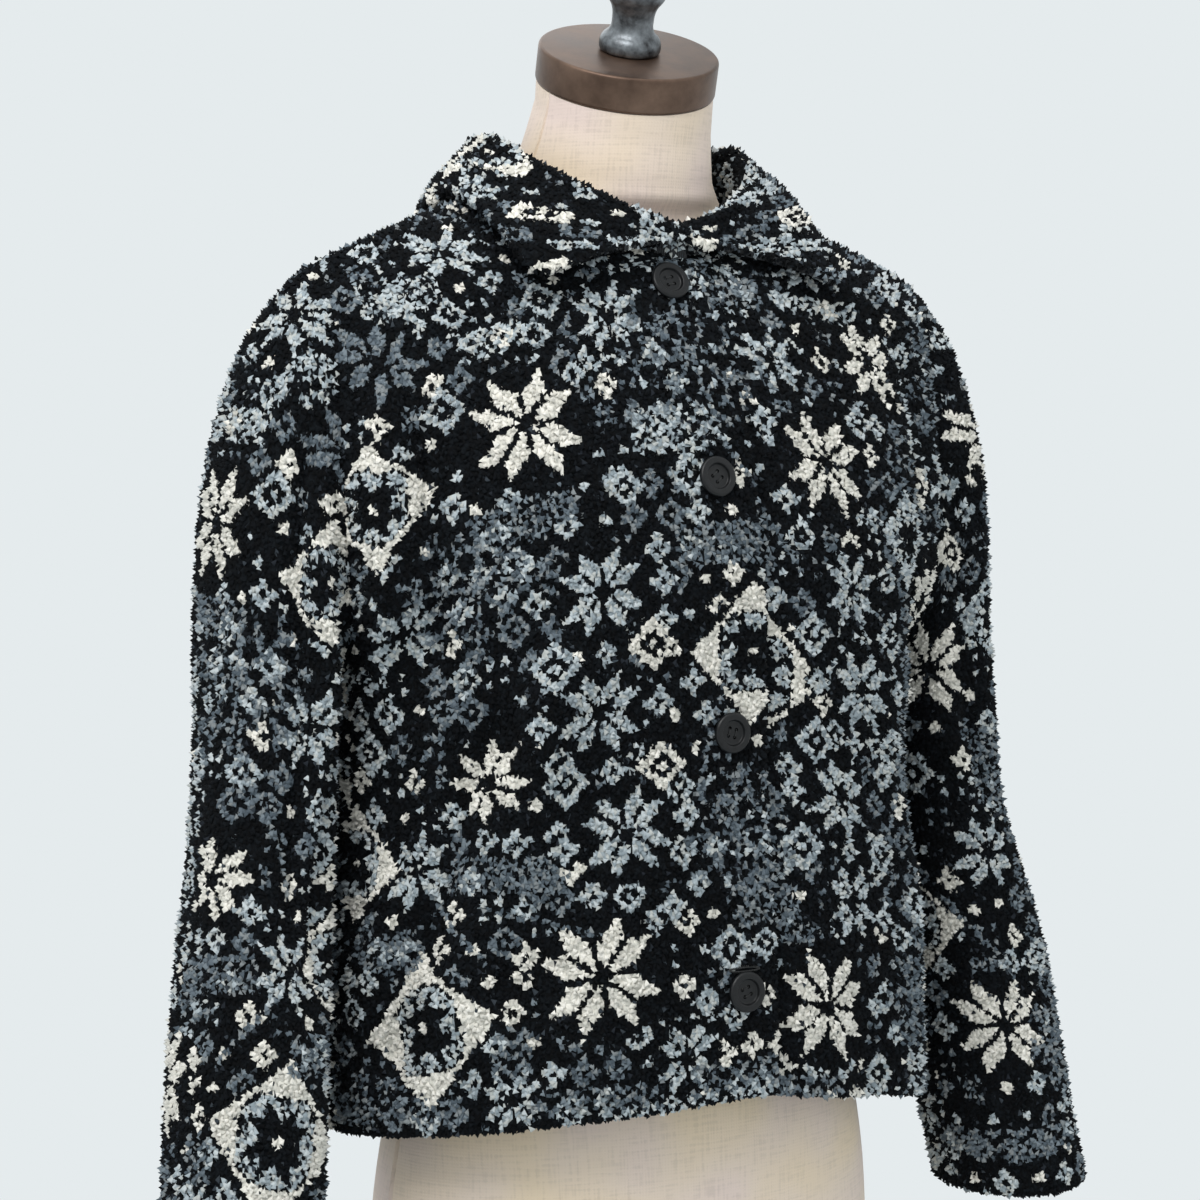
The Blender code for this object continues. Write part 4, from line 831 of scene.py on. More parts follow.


# the pattern, charted on the cloth laid flat

# Each line holds the motifs of one kind and tone, in the order in which they are drawn: u and v of
# the middle in mm, u to the wearer's left of the centre front and v up from the hem, then the size
# in mm, the turn in degrees and, for a field, its half height. A panel starts at its own place.
chartSize = (500, 600)
chart = []
for kind, tone, *spots in [
    ("star", "ivory", (-126, 412, 37, 4), (71, 398, 35, -6), (-97, 84, 37, 8), (52, 66, 36, -4)),
    ("star", "grey", (-210, 470, 28, 12)),
    ("star", "ivory", (138, 476, 31, -10), (208, 330, 33, 5), (196, 92, 34, 0), (-158, 206, 26, 20)),
    ("star", "pale", (-89, 308, 28, 3), (-92, 238, 27, -3), (-77, 166, 28, 10), (84, 320, 26, 0),
     (93, 259, 28, 4), (70, 193, 27, -8), (78, 130, 25, 0), (-58, 474, 25, 0), (46, 462, 24, 14),
     (-210, 300, 26, 0), (-208, 158, 25, 9), (-44, 30, 22, 0), (150, 24, 21, 4), (-150, 18, 20, 4),
     (-150, 540, 27, 0), (90, 548, 27, 0), (185, 206, 26, 6)),
    ("star", "ivory", (-18, 556, 26, 6)),
    ("star", "pale", (232, 420, 24, 6)),
    ("ring", "pale", (-119, 268, 16, 0)),
    ("ring", "ivory", (-59, 274, 16, 0)),
    ("ring", "pale", (-112, 198, 15, 0)),
    ("ring", "ivory", (-54, 203, 16, 0)),
    ("ring", "pale", (50, 226, 15, 0), (124, 226, 15, 0), (38, 162, 15, 0), (112, 160, 15, 0),
     (124, 294, 14, 0), (48, 290, 14, 0), (-100, 492, 16, 6), (-176, 430, 15, 0)),
    ("ring", "grey", (-168, 250, 12, 0)),
    ("ring", "pale", (-240, 226, 15, 0)),
    ("ring", "ivory", (190, 404, 15, 0)),
    ("ring", "pale", (225, 260, 15, 0), (150, 130, 14, 0)),
    ("ring", "grey", (-130, 140, 13, 0)),
    ("ring", "pale", (-26, 372, 15, 0), (-70, 368, 13, 0), (110, 430, 13, 0), (-230, 540, 16, 0),
     (180, 540, 16, 0), (-12, 90, 15, 0), (104, 24, 14, 0)),
    ("frame", "ivory", (-205, 62, 47, 8), (10, 264, 43, -3), (-222, 384, 38, 0)),
    ("frame", "pale", (150, 360, 32, 0)),
    ("frame", "ivory", (244, 160, 36, 0)),
    ("rays", "grey", (-163, 322, 44, 0), (-6, 446, 48, 8), (-4, 158, 38, 0), (146, 74, 34, 0),
     (232, 500, 38, 0)),
    ("speckle", "grey", (-8, 330, 32, 0, 13), (-150, 150, 38, -8, 11), (-128, 360, 28, 5, 9),
     (164, 262, 20, 0, 30), (-232, 110, 22, 0, 12), (20, 510, 34, 0, 12)),
    ("speckle", "pale", (-186, 508, 24, 0, 11)),
    ("speckle", "grey", (20, 120, 14, 0, 20)),
    ("chevrons", "pale", (-30, 400, 30, 0, 14)),
    ("chevrons", "grey", (-150, 46, 12, 0, 22), (10, 14, 52, 0, 9), (-100, 12, 40, 0, 8),
     (200, 14, 46, 0, 9), (-220, 14, 40, 0, 8)),
    ("chevrons", "pale", (-140, 470, 24, 6, 10), (100, 510, 34, 0, 9), (-40, 598, 60, 0, 8)),
    ("stitches", "grey", (-188, 240, 44, 62), (-130, 120, 36, -20), (-20, 215, 34, 74), (20, 360, 40, -58),
     (128, 196, 30, 80), (200, 150, 36, 56), (-182, 122, 30, -48)),
    ("flower", "pale", (-90, 440, 9, 0), (-56, 240, 10, 0), (-128, 234, 9, 0), (-88, 272, 8, 0),
     (-84, 203, 8, 0), (-50, 310, 10, 0), (-130, 306, 9, 0), (-38, 172, 10, 0), (-114, 160, 10, 0),
     (86, 226, 9, 0), (76, 161, 9, 0), (52, 262, 9, 0), (132, 262, 10, 0), (34, 196, 9, 0),
     (112, 120, 10, 0), (-50, 120, 10, 0)),
    ("flower", "ivory", (-140, 100, 9, 0), (10, 60, 9, 0)),
    ("flower", "pale", (-30, 62, 10, 0), (100, 66, 9, 0), (30, 420, 10, 0)),
    ("flower", "ivory", (-70, 430, 9, 0)),
    ("flower", "pale", (-176, 372, 10, 0), (110, 366, 9, 0), (-240, 330, 10, 0), (180, 450, 10, 0),
     (-182, 190, 9, 0), (236, 90, 10, 0), (-60, 526, 11, 0), (40, 560, 11, 0)),
    ("flower", "ivory", (140, 560, 11, 0)),
    ("flower", "pale", (-100, 576, 10, 0)),
]:
    chart += [dict(zip(("u", "v", "size", "turn", "high"), spot), kind=kind, tone=tone) for spot in spots]


def motifMask(kind, p, q, size, high, chance):
    # p and q are in mm from the motif's middle; chance is a random number for each tuft
    s = np.hypot(p, q)
    diamond = abs(p) + abs(q)
    far = np.maximum(abs(p), abs(q))
    near = np.minimum(abs(p), abs(q))
    if kind == "star":
        # the traditional rose: eight slanted lozenges, with the ground showing between them
        half = 0.46 * size
        gap = 0.6 + 0.032 * size
        return (near > gap) & (near < half) & (far - near > 1.25 * gap) & (far - near < half)
    if kind == "ring":
        return ((diamond < size) & (diamond > 0.56 * size)) | (s < 0.17 * size)
    if kind == "flower":
        return (diamond < size) & (s > 0.26 * size) & (near < 0.34 * size)
    if kind == "rays":
        ray = np.arctan2(q, p) % (math.pi / 4)
        ray = np.minimum(ray, math.pi / 4 - ray)
        along = s * np.cos(ray)
        aside = s * np.sin(ray)
        line = (aside < 1.5) & (along < size)
        for share in (0.45, 0.8):
            line |= (abs(along - share * size - aside * 0.9) < 1.7) & (aside < 0.25 * size)
        return line & (chance < 0.85)
    if kind == "frame":
        corners = (diamond > 0.60 * size) & (far > 0.55 * size)
        return (diamond < size) & (corners | (diamond > 0.90 * size) | (s < 0.07 * size))
    if kind == "burst":
        # a dark rose in a speckled field, inside a frame
        half = 0.25 * size
        rose = (near < half) & (far - near < half)
        return (diamond < 0.84 * size) & (far < 0.52 * size) & ~rose & (chance < 0.8)
    box = (abs(p) < size) & (abs(q) < high)
    if kind == "speckle":
        return box & (chance < 0.5)
    if kind == "chevrons":
        return box & ((q + abs(p % 14 - 7)) % 9 < 4.6) & (chance < 0.92)
    if kind == "stitches":
        return (abs(p) < size) & (abs(q) < 1.7) & (p % 7 < 4.8)
    if kind == "dot":
        return s < size
    if kind == "dots":
        return np.hypot(abs(p) - size, abs(q) - size) < 2.1
    raise ValueError(kind)


# what fills the ground between the motifs, in rows of 20 mm: kind, size and tone
fillers = [
    ("flower", 9.4, "pale"), ("ring", 11.2, "pale"), ("dots", 4.9, "pale"), ("flower", 9.8, "grey"),
    ("dot", 3.5, "ivory"), ("speckle", 7.0, "grey"), ("flower", 9.0, "pale"), ("ring", 10.8, "grey"),
    ("dots", 4.5, "grey"), ("flower", 9.2, "ivory"), ("dot", 3.1, "pale"),
]
fillRow = 20
fillColumn = 21.5


tones = dict(
    ground=["#040507", "#06080b", "#090c10", "#0d1115"],
    ivory=["#e6e2d8", "#d9d6cc", "#f0ece3", "#ccc9c0"],
    pale=["#aab4b9", "#c2c9cb", "#909ba1", "#bbbebb"],
    grey=["#646e76", "#79838a", "#515b63", "#868b8d"],
    shade=["#23272d", "#373d43"],
)
toneNames = list(tones)


def toneOf(u, v, random):
    # which tone a tuft at (u, v) mm of the chart has
    wide, high = chartSize
    ragged = random.normal(0, 0.35, (2, len(u)))      # loops wander, so edges are ragged
    u = u + ragged[0]
    v = v + ragged[1]
    chance = random.random(len(u))
    tone = np.zeros(len(u), dtype=int)
    row = np.floor(v / fillRow).astype(int)
    shift = (row % 2) * fillColumn / 2
    column = np.floor((u - shift) / fillColumn).astype(int)
    mix = (row * 7919 + column * 10477 + row * column * 31) % 1009
    p = u - shift - (column + 0.5) * fillColumn - (mix % 7 - 3) * 0.8
    q = v - (row + 0.5) * fillRow - (mix % 5 - 2) * 0.9
    for k, (kind, size, name) in enumerate(fillers):
        here = mix % len(fillers) == k
        mask = motifMask(kind, p[here], q[here], size, size, chance[here])
        tone[np.nonzero(here)[0][mask]] = toneNames.index(name)
    for motif in chart:
        du = (u - motif["u"] + wide / 2) % wide - wide / 2
        dv = (v - motif["v"] + high / 2) % high - high / 2
        reach = motif["size"] * 1.25
        near = np.nonzero((abs(du) < reach) & (abs(dv) < reach))[0]
        turn = math.radians(motif["turn"])
        p = du[near] * math.cos(turn) + dv[near] * math.sin(turn)
        q = -du[near] * math.sin(turn) + dv[near] * math.cos(turn)
        size = motif["size"]
        mask = motifMask(motif["kind"], p, q, size, motif.get("high", size), chance[near])
        # the ground stays clear in and round a motif
        if motif["kind"] in ("star", "flower"):
            tone[near[np.hypot(p, q) < size * 1.08]] = 0
        if motif["kind"] in ("frame", "ring"):
            tone[near[abs(p) + abs(q) < size * 1.1]] = 0
        tone[near[mask]] = toneNames.index(motif["tone"])
        if motif["kind"] == "frame":
            tone[near[motifMask("burst", p, q, size, size, chance[near])]] = toneNames.index("pale")
    # a few tufts of each colour stray into the other
    stray = random.random(len(u))
    tone[(tone > 0) & (stray < 0.02)] = toneNames.index("shade")
    tone[(tone == 0) & (stray > 0.965)] = toneNames.index("shade")
    return tone


# the pile: thousands of small bent tufts, each in one colour

pile = dict(
    spacing=0.00275,
    cell=0.93,                # share of the spacing squared that each tuft has
    spread=0.42,              # how far a root strays in it
    stitch=0.0026,            # one stitch of the close ground under the tufts
    bedDepth=0.0012,          # how deep that ground lies
    bedRough=0.0005,          # and how uneven it is
    length=0.0048,            # of a tuft, along the cloth
    height=0.0027,            # how far its back stands up from its foot
    girth=0.00160,            # half a tuft's width
    fibre=0.0006,             # from fibre to fibre
    heights=(0.8, 1.2),       # between which shares of the height, length and girth the tufts vary
    lengths=(0.7, 1.15),
    girths=(0.85, 1.12),
    toneAt=0.1,               # share of its length at which a tuft takes its tone
    noneUnder=0.93,           # share of a button's radius under which none grow
    upright=0.28,             # share of the tufts that stand up
    uprightHeight=(1.5, 0.97),        # of those, and of the rest
    lightHeight=(1.1, 0.92),          # light yarns stand fuller than dark ones
    lightGirth=(1.08, 0.98),
    hemRows=7,                # rows of a grid that the turned-up hem is looked for in
    hemDepth=0.024,           # how far up inside it the pile grows
    napDown=(0.0, -0.25, -1.0),       # where the nap lies
    napShare=0.85,
    curlShare=0.6,            # how much each tuft curls to a side of its own
    least=0.0008,             # tufts lower than this are left out
    covered=0.006,            # how near another cloth shortens them
    squeezed=0.7,             # share of the free space that they fill there
    pressedWithPaintedShadow=0.0065,           # how far beside the overlap's edge the pile is pressed flat and painted dark as the shadow of the right front's edge
    pressedHeight=0.4,
    seed=11,
    starts={                  # where each panel starts on the chart, in mm
        "front_right": (0, 0), "front_left": (-7, 11), "back_right": (258, 30),
        "back_left": (258, 30), "sleeve_right": (-128, -36), "sleeve_left": (92, -20),
        "collar": (-64, 330),
    },
)


def finer(points, rows, columns):
    # reads a grid at a finer, even set of rows and columns
    r = np.linspace(0, points.shape[0] - 1, rows)
    c = np.linspace(0, points.shape[1] - 1, columns)
    i = np.minimum(r.astype(int), points.shape[0] - 2)
    j = np.minimum(c.astype(int), points.shape[1] - 2)
    s = (r - i)[:, None, None]
    t = (c - j)[None, :, None]
    a = points[i][:, j] * (1 - t) + points[i][:, j + 1] * t
    b = points[i + 1][:, j] * (1 - t) + points[i + 1][:, j + 1] * t
    return a * (1 - s) + b * s


def rootsOn(points, normals, flat, random):
    # spreads tuft roots evenly over a grid by area
    size = pile["spacing"]
    long = lengthAlong(points, 0)[-1].max()
    wide = lengthAlong(points, 1)[:, -1].max()
    rows = max(2, int(long / size) + 1)
    columns = max(2, int(wide / size) + 1)
    p = finer(points, rows + 1, columns + 1)
    n = finer(normals, rows + 1, columns + 1)
    f = finer(flat, rows + 1, columns + 1)
    area = np.linalg.norm(np.cross(*cellSides(p)), axis=2)
    area[1::2] = area[1::2, ::-1]                      # back and forth, so that rests carry on
    total = np.cumsum(area.ravel()) / (size * size * pile["cell"]) + 0.5
    counts = np.diff(np.floor(np.concatenate([[0.5], total]))).astype(int).reshape(area.shape)
    counts[1::2] = counts[1::2, ::-1]
    i, j = np.nonzero(counts)
    repeat = counts[i, j]
    i = np.repeat(i, repeat)
    j = np.repeat(j, repeat)
    s = 0.5 + random.uniform(-pile["spread"], pile["spread"], len(i))
    t = 0.5 + random.uniform(-pile["spread"], pile["spread"], len(i)) + 0.5 * (i % 2) - 0.25

    def read(a):
        t1 = t[:, None]
        s1 = s[:, None]
        top = a[i, j] * (1 - t1) + a[i, j + 1] * t1
        low = a[i + 1, j] * (1 - t1) + a[i + 1, j + 1] * t1
        return top * (1 - s1) + low * s1

    # how the flat place changes with a step on the cloth, along the rows and along the columns
    steps = []
    for span, change in ((p[i, j + 1] - p[i, j], f[i, j + 1] - f[i, j]),
                         (p[i + 1, j] - p[i, j], f[i + 1, j] - f[i, j])):
        steps.append((span / np.maximum((span * span).sum(axis=1), 1e-9)[:, None], change))
    return [read(p), unit(read(n)), read(f), steps[0][0], steps[0][1], steps[1][0], steps[1][1]]


def edgeStrip(outer, inner, inward, flat, turns=(0, 45, 90, 135, 180)):
    # a narrow grid round a cloth's cut edge; inward points from the edge into the cloth
    middle = (outer + inner) / 2
    half = (outer - inner) / 2
    r = np.linalg.norm(half, axis=1)[:, None]
    out = unit(half)
    points = []
    normals = []
    for a in np.radians(turns):
        way = out * math.cos(a) - inward * math.sin(a)
        points.append(middle + inward * r * 0.75 + way * r)
        normals.append(way)
    return np.array(points), np.array(normals), np.array([flat] * len(points))


def pileSurfaces(grid):
    # the grids that a panel's pile grows on: its outer side, its cut edges and the turned-up hem
    def closing(parts, axis):
        # a sleeve's grids and lines come round to their start
        if not grid["closed"]:
            return tuple(parts)
        return tuple(comeRound(a, axis) for a in parts)

    def addStrip(edge):
        at, beside = edgeLines(grid, edge)
        inward = unit(grid["outer"][beside] - grid["outer"][at])
        lines = (grid["outer"][at], grid["inner"][at], inward, grid["flat"][at])
        surfaces.append(edgeStrip(*closing(lines, 0)))

    surfaces = [closing((grid["outer"], grid["normal"], grid["flat"]), 1)]
    if grid["closed"]:
        step = (grid["flat"][:, 1] - grid["flat"][:, 0])[:, None]
        surfaces[0][2][:, -1:] = grid["flat"][:, -1:] + step
    for edge in grid["free"]:
        addStrip(edge)
        if edge in ("hem", "end"):
            # the face of the turned-up layer, inside
            count = pile["hemRows"]
            order = list(range(0, count) if edge == "hem" else range(-1, -count - 1, -1))
            inner, facing, flat = closing((grid["inner"][order], -grid["normal"][order],
                                           grid["flat"][order] * [1, -1]), 1)
            length = lengthAlong(inner, 0).mean(axis=1)
            keep = max(2, int(np.searchsorted(length, pile["hemDepth"])) + 1)
            surfaces.append((inner[:keep], facing[:keep], flat[:keep]))
        if edge == "leaf":
            addStrip("hem")
            addStrip("end")
            # the stand's other face, which shows at the two front ends
            for ends in (slice(0, 8), slice(-8, None)):
                surfaces.append((grid["inner"][ends, :14], -grid["normal"][ends, :14],
                                 grid["flat"][ends, :14]))
    return surfaces


def coveredBy(tree, roots, normals, reach):
    # how far each root has free space above it, up to reach
    free = np.full(len(roots), reach)
    for k, (root, normal) in enumerate(zip(roots, normals)):
        hit = tree.ray_cast(Vector(root), Vector(normal), reach)
        if hit[0] is not None:
            free[k] = hit[3]
    return free


def bedOf(points, normals, flat, random):
    # the close ground of the pile: one small face for each stitch
    rows = max(2, int(lengthAlong(points, 0)[-1].mean() / pile["stitch"]) + 1)
    columns = max(2, int(lengthAlong(points, 1)[:, -1].mean() / pile["stitch"]) + 1)
    p, n, f = (finer(a, rows + 1, columns + 1) for a in (points, normals, flat))
    rough = np.zeros(p.shape[:2])
    rough[1:-1, 1:-1] = random.uniform(-pile["bedRough"], pile["bedRough"], (rows - 1, columns - 1))
    p = p + unit(n) * (rough - pile["bedDepth"])[:, :, None]
    facing = np.cross(*cellSides(p))
    faces = cellFaces(rows + 1, columns + 1, (facing * n[:-1, :-1]).sum() < 0)
    middles = (f[:-1, :-1] + f[1:, 1:]) / 2
    return p.reshape(-1, 3), faces, middles.reshape(-1, 2)


tuft = dict(
    rootDepth=0.75,           # share of the backing's depth
    tail=-0.48,               # along its length, as the next ones
    corners=(0.18, 0.52),     # between these
    back=0.1,
    tailRise=0.15,            # of its height
    cornerRise=0.4,
    cornerWidth=(0.75, 1.25), # of its girth
)


def tuftPoints(roots, normals, combs, girth, height, length, random):
    # a tuft is a low lump: a tail, two corners at its tip and a raised back
    count = len(roots)
    side = unit(np.cross(normals, combs))
    foot = roots - normals * cloth["backingDepth"] * tuft["rootDepth"]
    h, l, g = height[:, None], length[:, None], girth[:, None]
    left, right = random.uniform(*tuft["cornerWidth"], (2, count, 1))
    leftShift, rightShift = random.uniform(*tuft["corners"], (2, count, 1))
    cornerRise = normals * h * tuft["cornerRise"]
    points = np.empty((count, 4, 3))
    points[:, 0] = foot + combs * l * tuft["tail"] + normals * h * tuft["tailRise"]
    points[:, 1] = foot + side * g * left + combs * l * leftShift + cornerRise
    points[:, 2] = foot - side * g * right + combs * l * rightShift + cornerRise
    points[:, 3] = foot + combs * l * tuft["back"] + normals * h
    start = (np.arange(count) * 4)[:, None, None]
    around = np.array([(3, 1, 0), (3, 0, 2), (3, 2, 1)])
    return points.reshape(-1, 3), (start + around[None]).reshape(-1, 3)


def pileMesh(name, beds, bedShades, tufts, tuftShades):
    # the stitches of the ground are squares and the sides of the tufts triangles
    parts = beds + [tufts]
    starts = np.cumsum([0] + [len(points) for points, faces in parts])
    vertices = np.concatenate([points for points, faces in parts])
    loops = np.concatenate([(faces + start).ravel() for (points, faces), start in zip(parts, starts)])
    sizes = np.concatenate([np.full(len(faces), faces.shape[1]) for points, faces in parts])
    mesh = bpy.data.meshes.new(name)
    mesh.vertices.add(len(vertices))
    mesh.vertices.foreach_set("co", vertices.astype(np.float32).ravel())
    mesh.loops.add(len(loops))
    mesh.loops.foreach_set("vertex_index", loops.astype(np.int32))
    mesh.polygons.add(len(sizes))
    starts = np.concatenate([[0], np.cumsum(sizes)[:-1]])
    mesh.polygons.foreach_set("loop_start", starts.astype(np.int32))
    for material in sherpa:
        mesh.materials.append(material)
    shades = np.concatenate([bedShades, np.repeat(tuftShades, 3)])
    mesh.polygons.foreach_set("material_index", shades.astype(np.int32))
    mesh.update(calc_edges=True)
    mesh.shade_smooth()
    return mesh


def sherpaMaterials():
    # brushed polyester sherpa: curly loops, matt, with a faint fuzzy sheen on the light yarns.
    # the fibres in a tuft are drawn coarser than real ones, so that they show.
    # a tuft is dyed right through, so each yarn shade is one material and a tuft holds one of them
    made = []
    for tone, colours in tones.items():
        for k, colour in enumerate(colours):
            light = tone in ("ivory", "pale")
            material, tree, shader = newMaterial("sherpaYarn_%s_%d" % (tone, k + 1), colour, 0.95,
                                                 Sheen_Weight=0.25 if light else 0.0)
            shader.inputs["Specular IOR Level"].default_value = 0.3 if light else 0.18
            place = addNode(tree, "ShaderNodeTexCoord")
            fibres = addNode(tree, "ShaderNodeTexNoise",
                             {"Scale": 0.5 / pile["fibre"], "Detail": 2, "Distortion": 1.2},
                             {"Vector": place.outputs["Object"]})
            addNode(tree, "ShaderNodeBump", {"Strength": 0.55, "Distance": 0.0005},
                    {"Height": fibres.outputs["Fac"]}, shader.inputs["Normal"])
            made.append(material)
    return made


buttons = dict(
    places=((-0.0160, 0.915), (-0.0095, 0.799), (-0.0065, 0.648), (-0.0040, 0.495)),   # x, z
    turns=(12, 38, 75, 20),   # degrees
    radius=0.0122,
    seat=0.0003,
    dish=0.0015,              # how high the sunk middle lies over the button's back
    hole=0.00115,
    spread=0.0023,
    # the buttonhole that shows over its button: its stitches run through three points, each with its
    # share of the half length, half width and lift
    slit=dict(button=3, rise=0.0132, half=0.0098, bare=0.0022, cord=0.00034, cordWide=0.0011, cordLift=0.0003,
              stitches=52, thread=0.00022,
              stitch=((0.97, 0.0007, 0.0001), (1.04, 0.0014, 0.0006), (1.10, 0.0023, 0.0))),
)


def seatOf(place, turn, tree):
    # where a button lies on the right front: its own frame, Z off the cloth
    spot, normal, _, _ = tree.ray_cast(Vector((place[0], -0.5, place[1])), Vector((0, 1, 0)))
    face = normal.to_track_quat("Z", "Y").to_matrix().to_4x4()
    lowest = 0.0
    for k in range(24):
        way = Vector((math.cos(k * math.pi / 12), math.sin(k * math.pi / 12), 0))
        for radius in (buttons["radius"], buttons["radius"] / 2):
            start = spot + face.to_3x3() @ (way * radius) + normal * 0.02
            hit = tree.ray_cast(start, -normal, 0.04)
            if hit[0] is not None:
                lowest = max(lowest, 0.02 - hit[3])
    seat = Matrix.Translation(spot + normal * (lowest + buttons["seat"]))
    return seat @ face @ Matrix.Rotation(math.radians(turn), 4, "Z")


frontTree = nodeTree("front_right")
seats = [seatOf(place, turn, frontTree) for place, turn in zip(buttons["places"], buttons["turns"])]


def growPile(name, grid, overTrees):
    # the tufts and their ground on one panel; overTrees are the cloths that lie on it
    random = np.random.default_rng(pile["seed"] + sum(map(ord, name)))
    surfaces = pileSurfaces(grid)
    roots, normals, flat, alongRow, flatRow, alongColumn, flatColumn = (
        np.concatenate(a) for a in zip(*(rootsOn(*surface, random) for surface in surfaces)))
    count = len(roots)
    height = pile["height"] * random.uniform(*pile["heights"], count)
    # some tufts stand up from the rest, which makes the outline fuzzy
    height *= np.where(random.random(count) < pile["upright"], *pile["uprightHeight"])
    # no tufts under a button, and shorter ones under the collar and the overlap
    for seat in seats:
        gap = np.linalg.norm(roots - np.array(seat.translation), axis=1)
        height[gap < buttons["radius"] * pile["noneUnder"]] = 0
    slit = buttons["slit"]
    away = abs(roots - np.array(seats[slit["button"]].translation) - [0, 0, slit["rise"]])
    height[(away < [slit["half"], 0.02, slit["bare"]]).all(axis=1)] = 0
    for tree, reach in overTrees:
        free = coveredBy(tree, roots, normals, reach)
        height = np.where(free < reach, np.minimum(height, free * pile["squeezed"]), height)
    # the nap lies downwards, with curls to every side
    down = np.array(pile["napDown"]) - normals * (normals @ pile["napDown"])[:, None]
    wild = random.normal(0, 1, roots.shape)
    wild -= normals * (wild * normals).sum(axis=1)[:, None]
    combs = unit(unit(down) * pile["napShare"] + unit(wild) * pile["curlShare"])
    length = pile["length"] * random.uniform(*pile["lengths"], count)
    # a tuft takes its tone from the chart under its raised back
    reachOut = combs * length[:, None] * pile["toneAt"]
    flat = (flat + (reachOut * alongRow).sum(axis=1)[:, None] * flatRow
            + (reachOut * alongColumn).sum(axis=1)[:, None] * flatColumn)
    beds = [bedOf(*surface, random) for surface in surfaces]
    places = np.concatenate([flat] + [bed[2] for bed in beds]) * 1000 + pile["starts"][name]
    tone = toneOf(places[:, 0], places[:, 1], random)
    if name == "front_left":
        # beside the overlap's edge the pile is pressed flat, and painted in the dark ground tone as the
        # shadow of the right front's edge
        beside = np.concatenate([flat[:, 0]] + [bed[2][:, 0] for bed in beds])
        beside = (beside > cloth["overlap"]) & (beside < cloth["overlap"] + pile["pressedWithPaintedShadow"])
        # painted shadow: these tufts and stitches take the ground's black, whatever the chart gives
        tone[beside] = toneNames.index("ground")
        height[beside[:count]] *= pile["pressedHeight"]
    first = np.cumsum([0] + [len(colours) for colours in tones.values()])
    shades = first[tone] + random.integers(0, 60, len(tone)) % np.diff(first)[tone]
    light = (tone > 0) & (tone < toneNames.index("shade"))
    girth = pile["girth"] * random.uniform(*pile["girths"], count)
    girth = girth * np.where(light[:count], *pile["lightGirth"])
    height = height * np.where(light[:count], *pile["lightHeight"])
    keep = height > pile["least"]
    tufts = tuftPoints(*(a[keep] for a in (roots, normals, combs, girth, height, length)), random)
    mesh = pileMesh("pile_" + name, [bed[:2] for bed in beds], shades[count:], tufts, shades[:count][keep])
    piece = addObject("pile_" + name, mesh)
    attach(piece, "root")
    print("pile of", name, int(keep.sum()), "tufts on", len(shades) - count, "stitches")
    return piece


sherpa = sherpaMaterials()
collarTree = nodeTree("collar")
for name, grid in grids.items():
    over = []
    if name.startswith(("front", "back")):
        over.append((collarTree, pile["covered"]))
    if name == "front_left":
        over.append((frontTree, pile["covered"]))
    growPile(name, grid, over)

# the cut of what shows of each piece, measured flat: width and length, and its own area
cuts = dict(
    front=dict(flat=(0.307, 0.660), area=0.153),
    back=dict(flat=(0.534, 0.700), area=0.293),
    sleeve=dict(flat=(0.565, 0.622), area=0.160),
    collar=dict(flat=(0.620, 0.165), area=0.061),
)


def areaOf(grid):
    points = comeRound(grid["outer"]) if grid["closed"] else grid["outer"]
    return np.linalg.norm(np.cross(*cellSides(points)), axis=2).sum()


for node, names in sheetParts.items():
    cut = cuts[node.split("_")[0]]
    print("cut of", node, cut, "measured", round(sum(areaOf(grids[n]) for n in names), 4),
          "long", round(lengthAlong(grids[names[0]]["outer"], 0)[-1].max(), 3),
          "wide", round(lengthAlong(grids[names[0]]["outer"], 1)[:, -1].max(), 3))


# turned pieces: cap, finial, column, base and buttons

neck = dict(top=(-0.0015, -0.002, 1.0385), lean=math.radians(24), turn=math.radians(-16),
            capRadius=0.0560, capThick=0.0225, gap=0.0003,
            capEdge=0.0022,           # how far its corners are rounded
            linenRadius=0.985)        # share of the cap's radius at which the linen ends


def capFrame():
    return (Matrix.Translation(neck["top"]) @ Matrix.Rotation(neck["turn"], 4, "Z")
            @ Matrix.Rotation(neck["lean"], 4, "X"))


def lathe(name, profile, steps, place):
    # turns a profile, from its top to its bottom, round its own Z axis
    vertices = []
    rings = []
    for r, z in profile:
        if r < 1e-6:
            rings.append([len(vertices)])
            vertices.append((0, 0, z))
        else:
            rings.append(list(range(len(vertices), len(vertices) + steps)))
            vertices += [(r * math.cos(2 * math.pi * k / steps), r * math.sin(2 * math.pi * k / steps), z)
                         for k in range(steps)]
    faces = []
    for upper, lower in zip(rings, rings[1:]):
        for k in range(steps):
            a, b = upper[k % len(upper)], upper[(k + 1) % len(upper)]
            c, d = lower[(k + 1) % len(lower)], lower[k % len(lower)]
            faces.append(tuple(dict.fromkeys((a, d, c, b))))
    mesh = bpy.data.meshes.new(name)
    mesh.from_pydata(vertices, [], faces)
    mesh.transform(place)
    return mesh


def rounded(profile, radius, steps=5):
    # rounds the corners of a profile, but not its two ends
    made = [profile[0]]
    for before, here, after in zip(profile, profile[1:], profile[2:]):
        a = Vector(before) - Vector(here)
        b = Vector(after) - Vector(here)
        cut = min(radius, a.length * 0.45, b.length * 0.45)
        p = Vector(here) + a.normalized() * cut
        q = Vector(here) + b.normalized() * cut
        for k in range(steps + 1):
            t = k / steps
            made.append(tuple(p * (1 - t) ** 2 + Vector(here) * 2 * t * (1 - t) + q * t * t))
    return made + [profile[-1]]


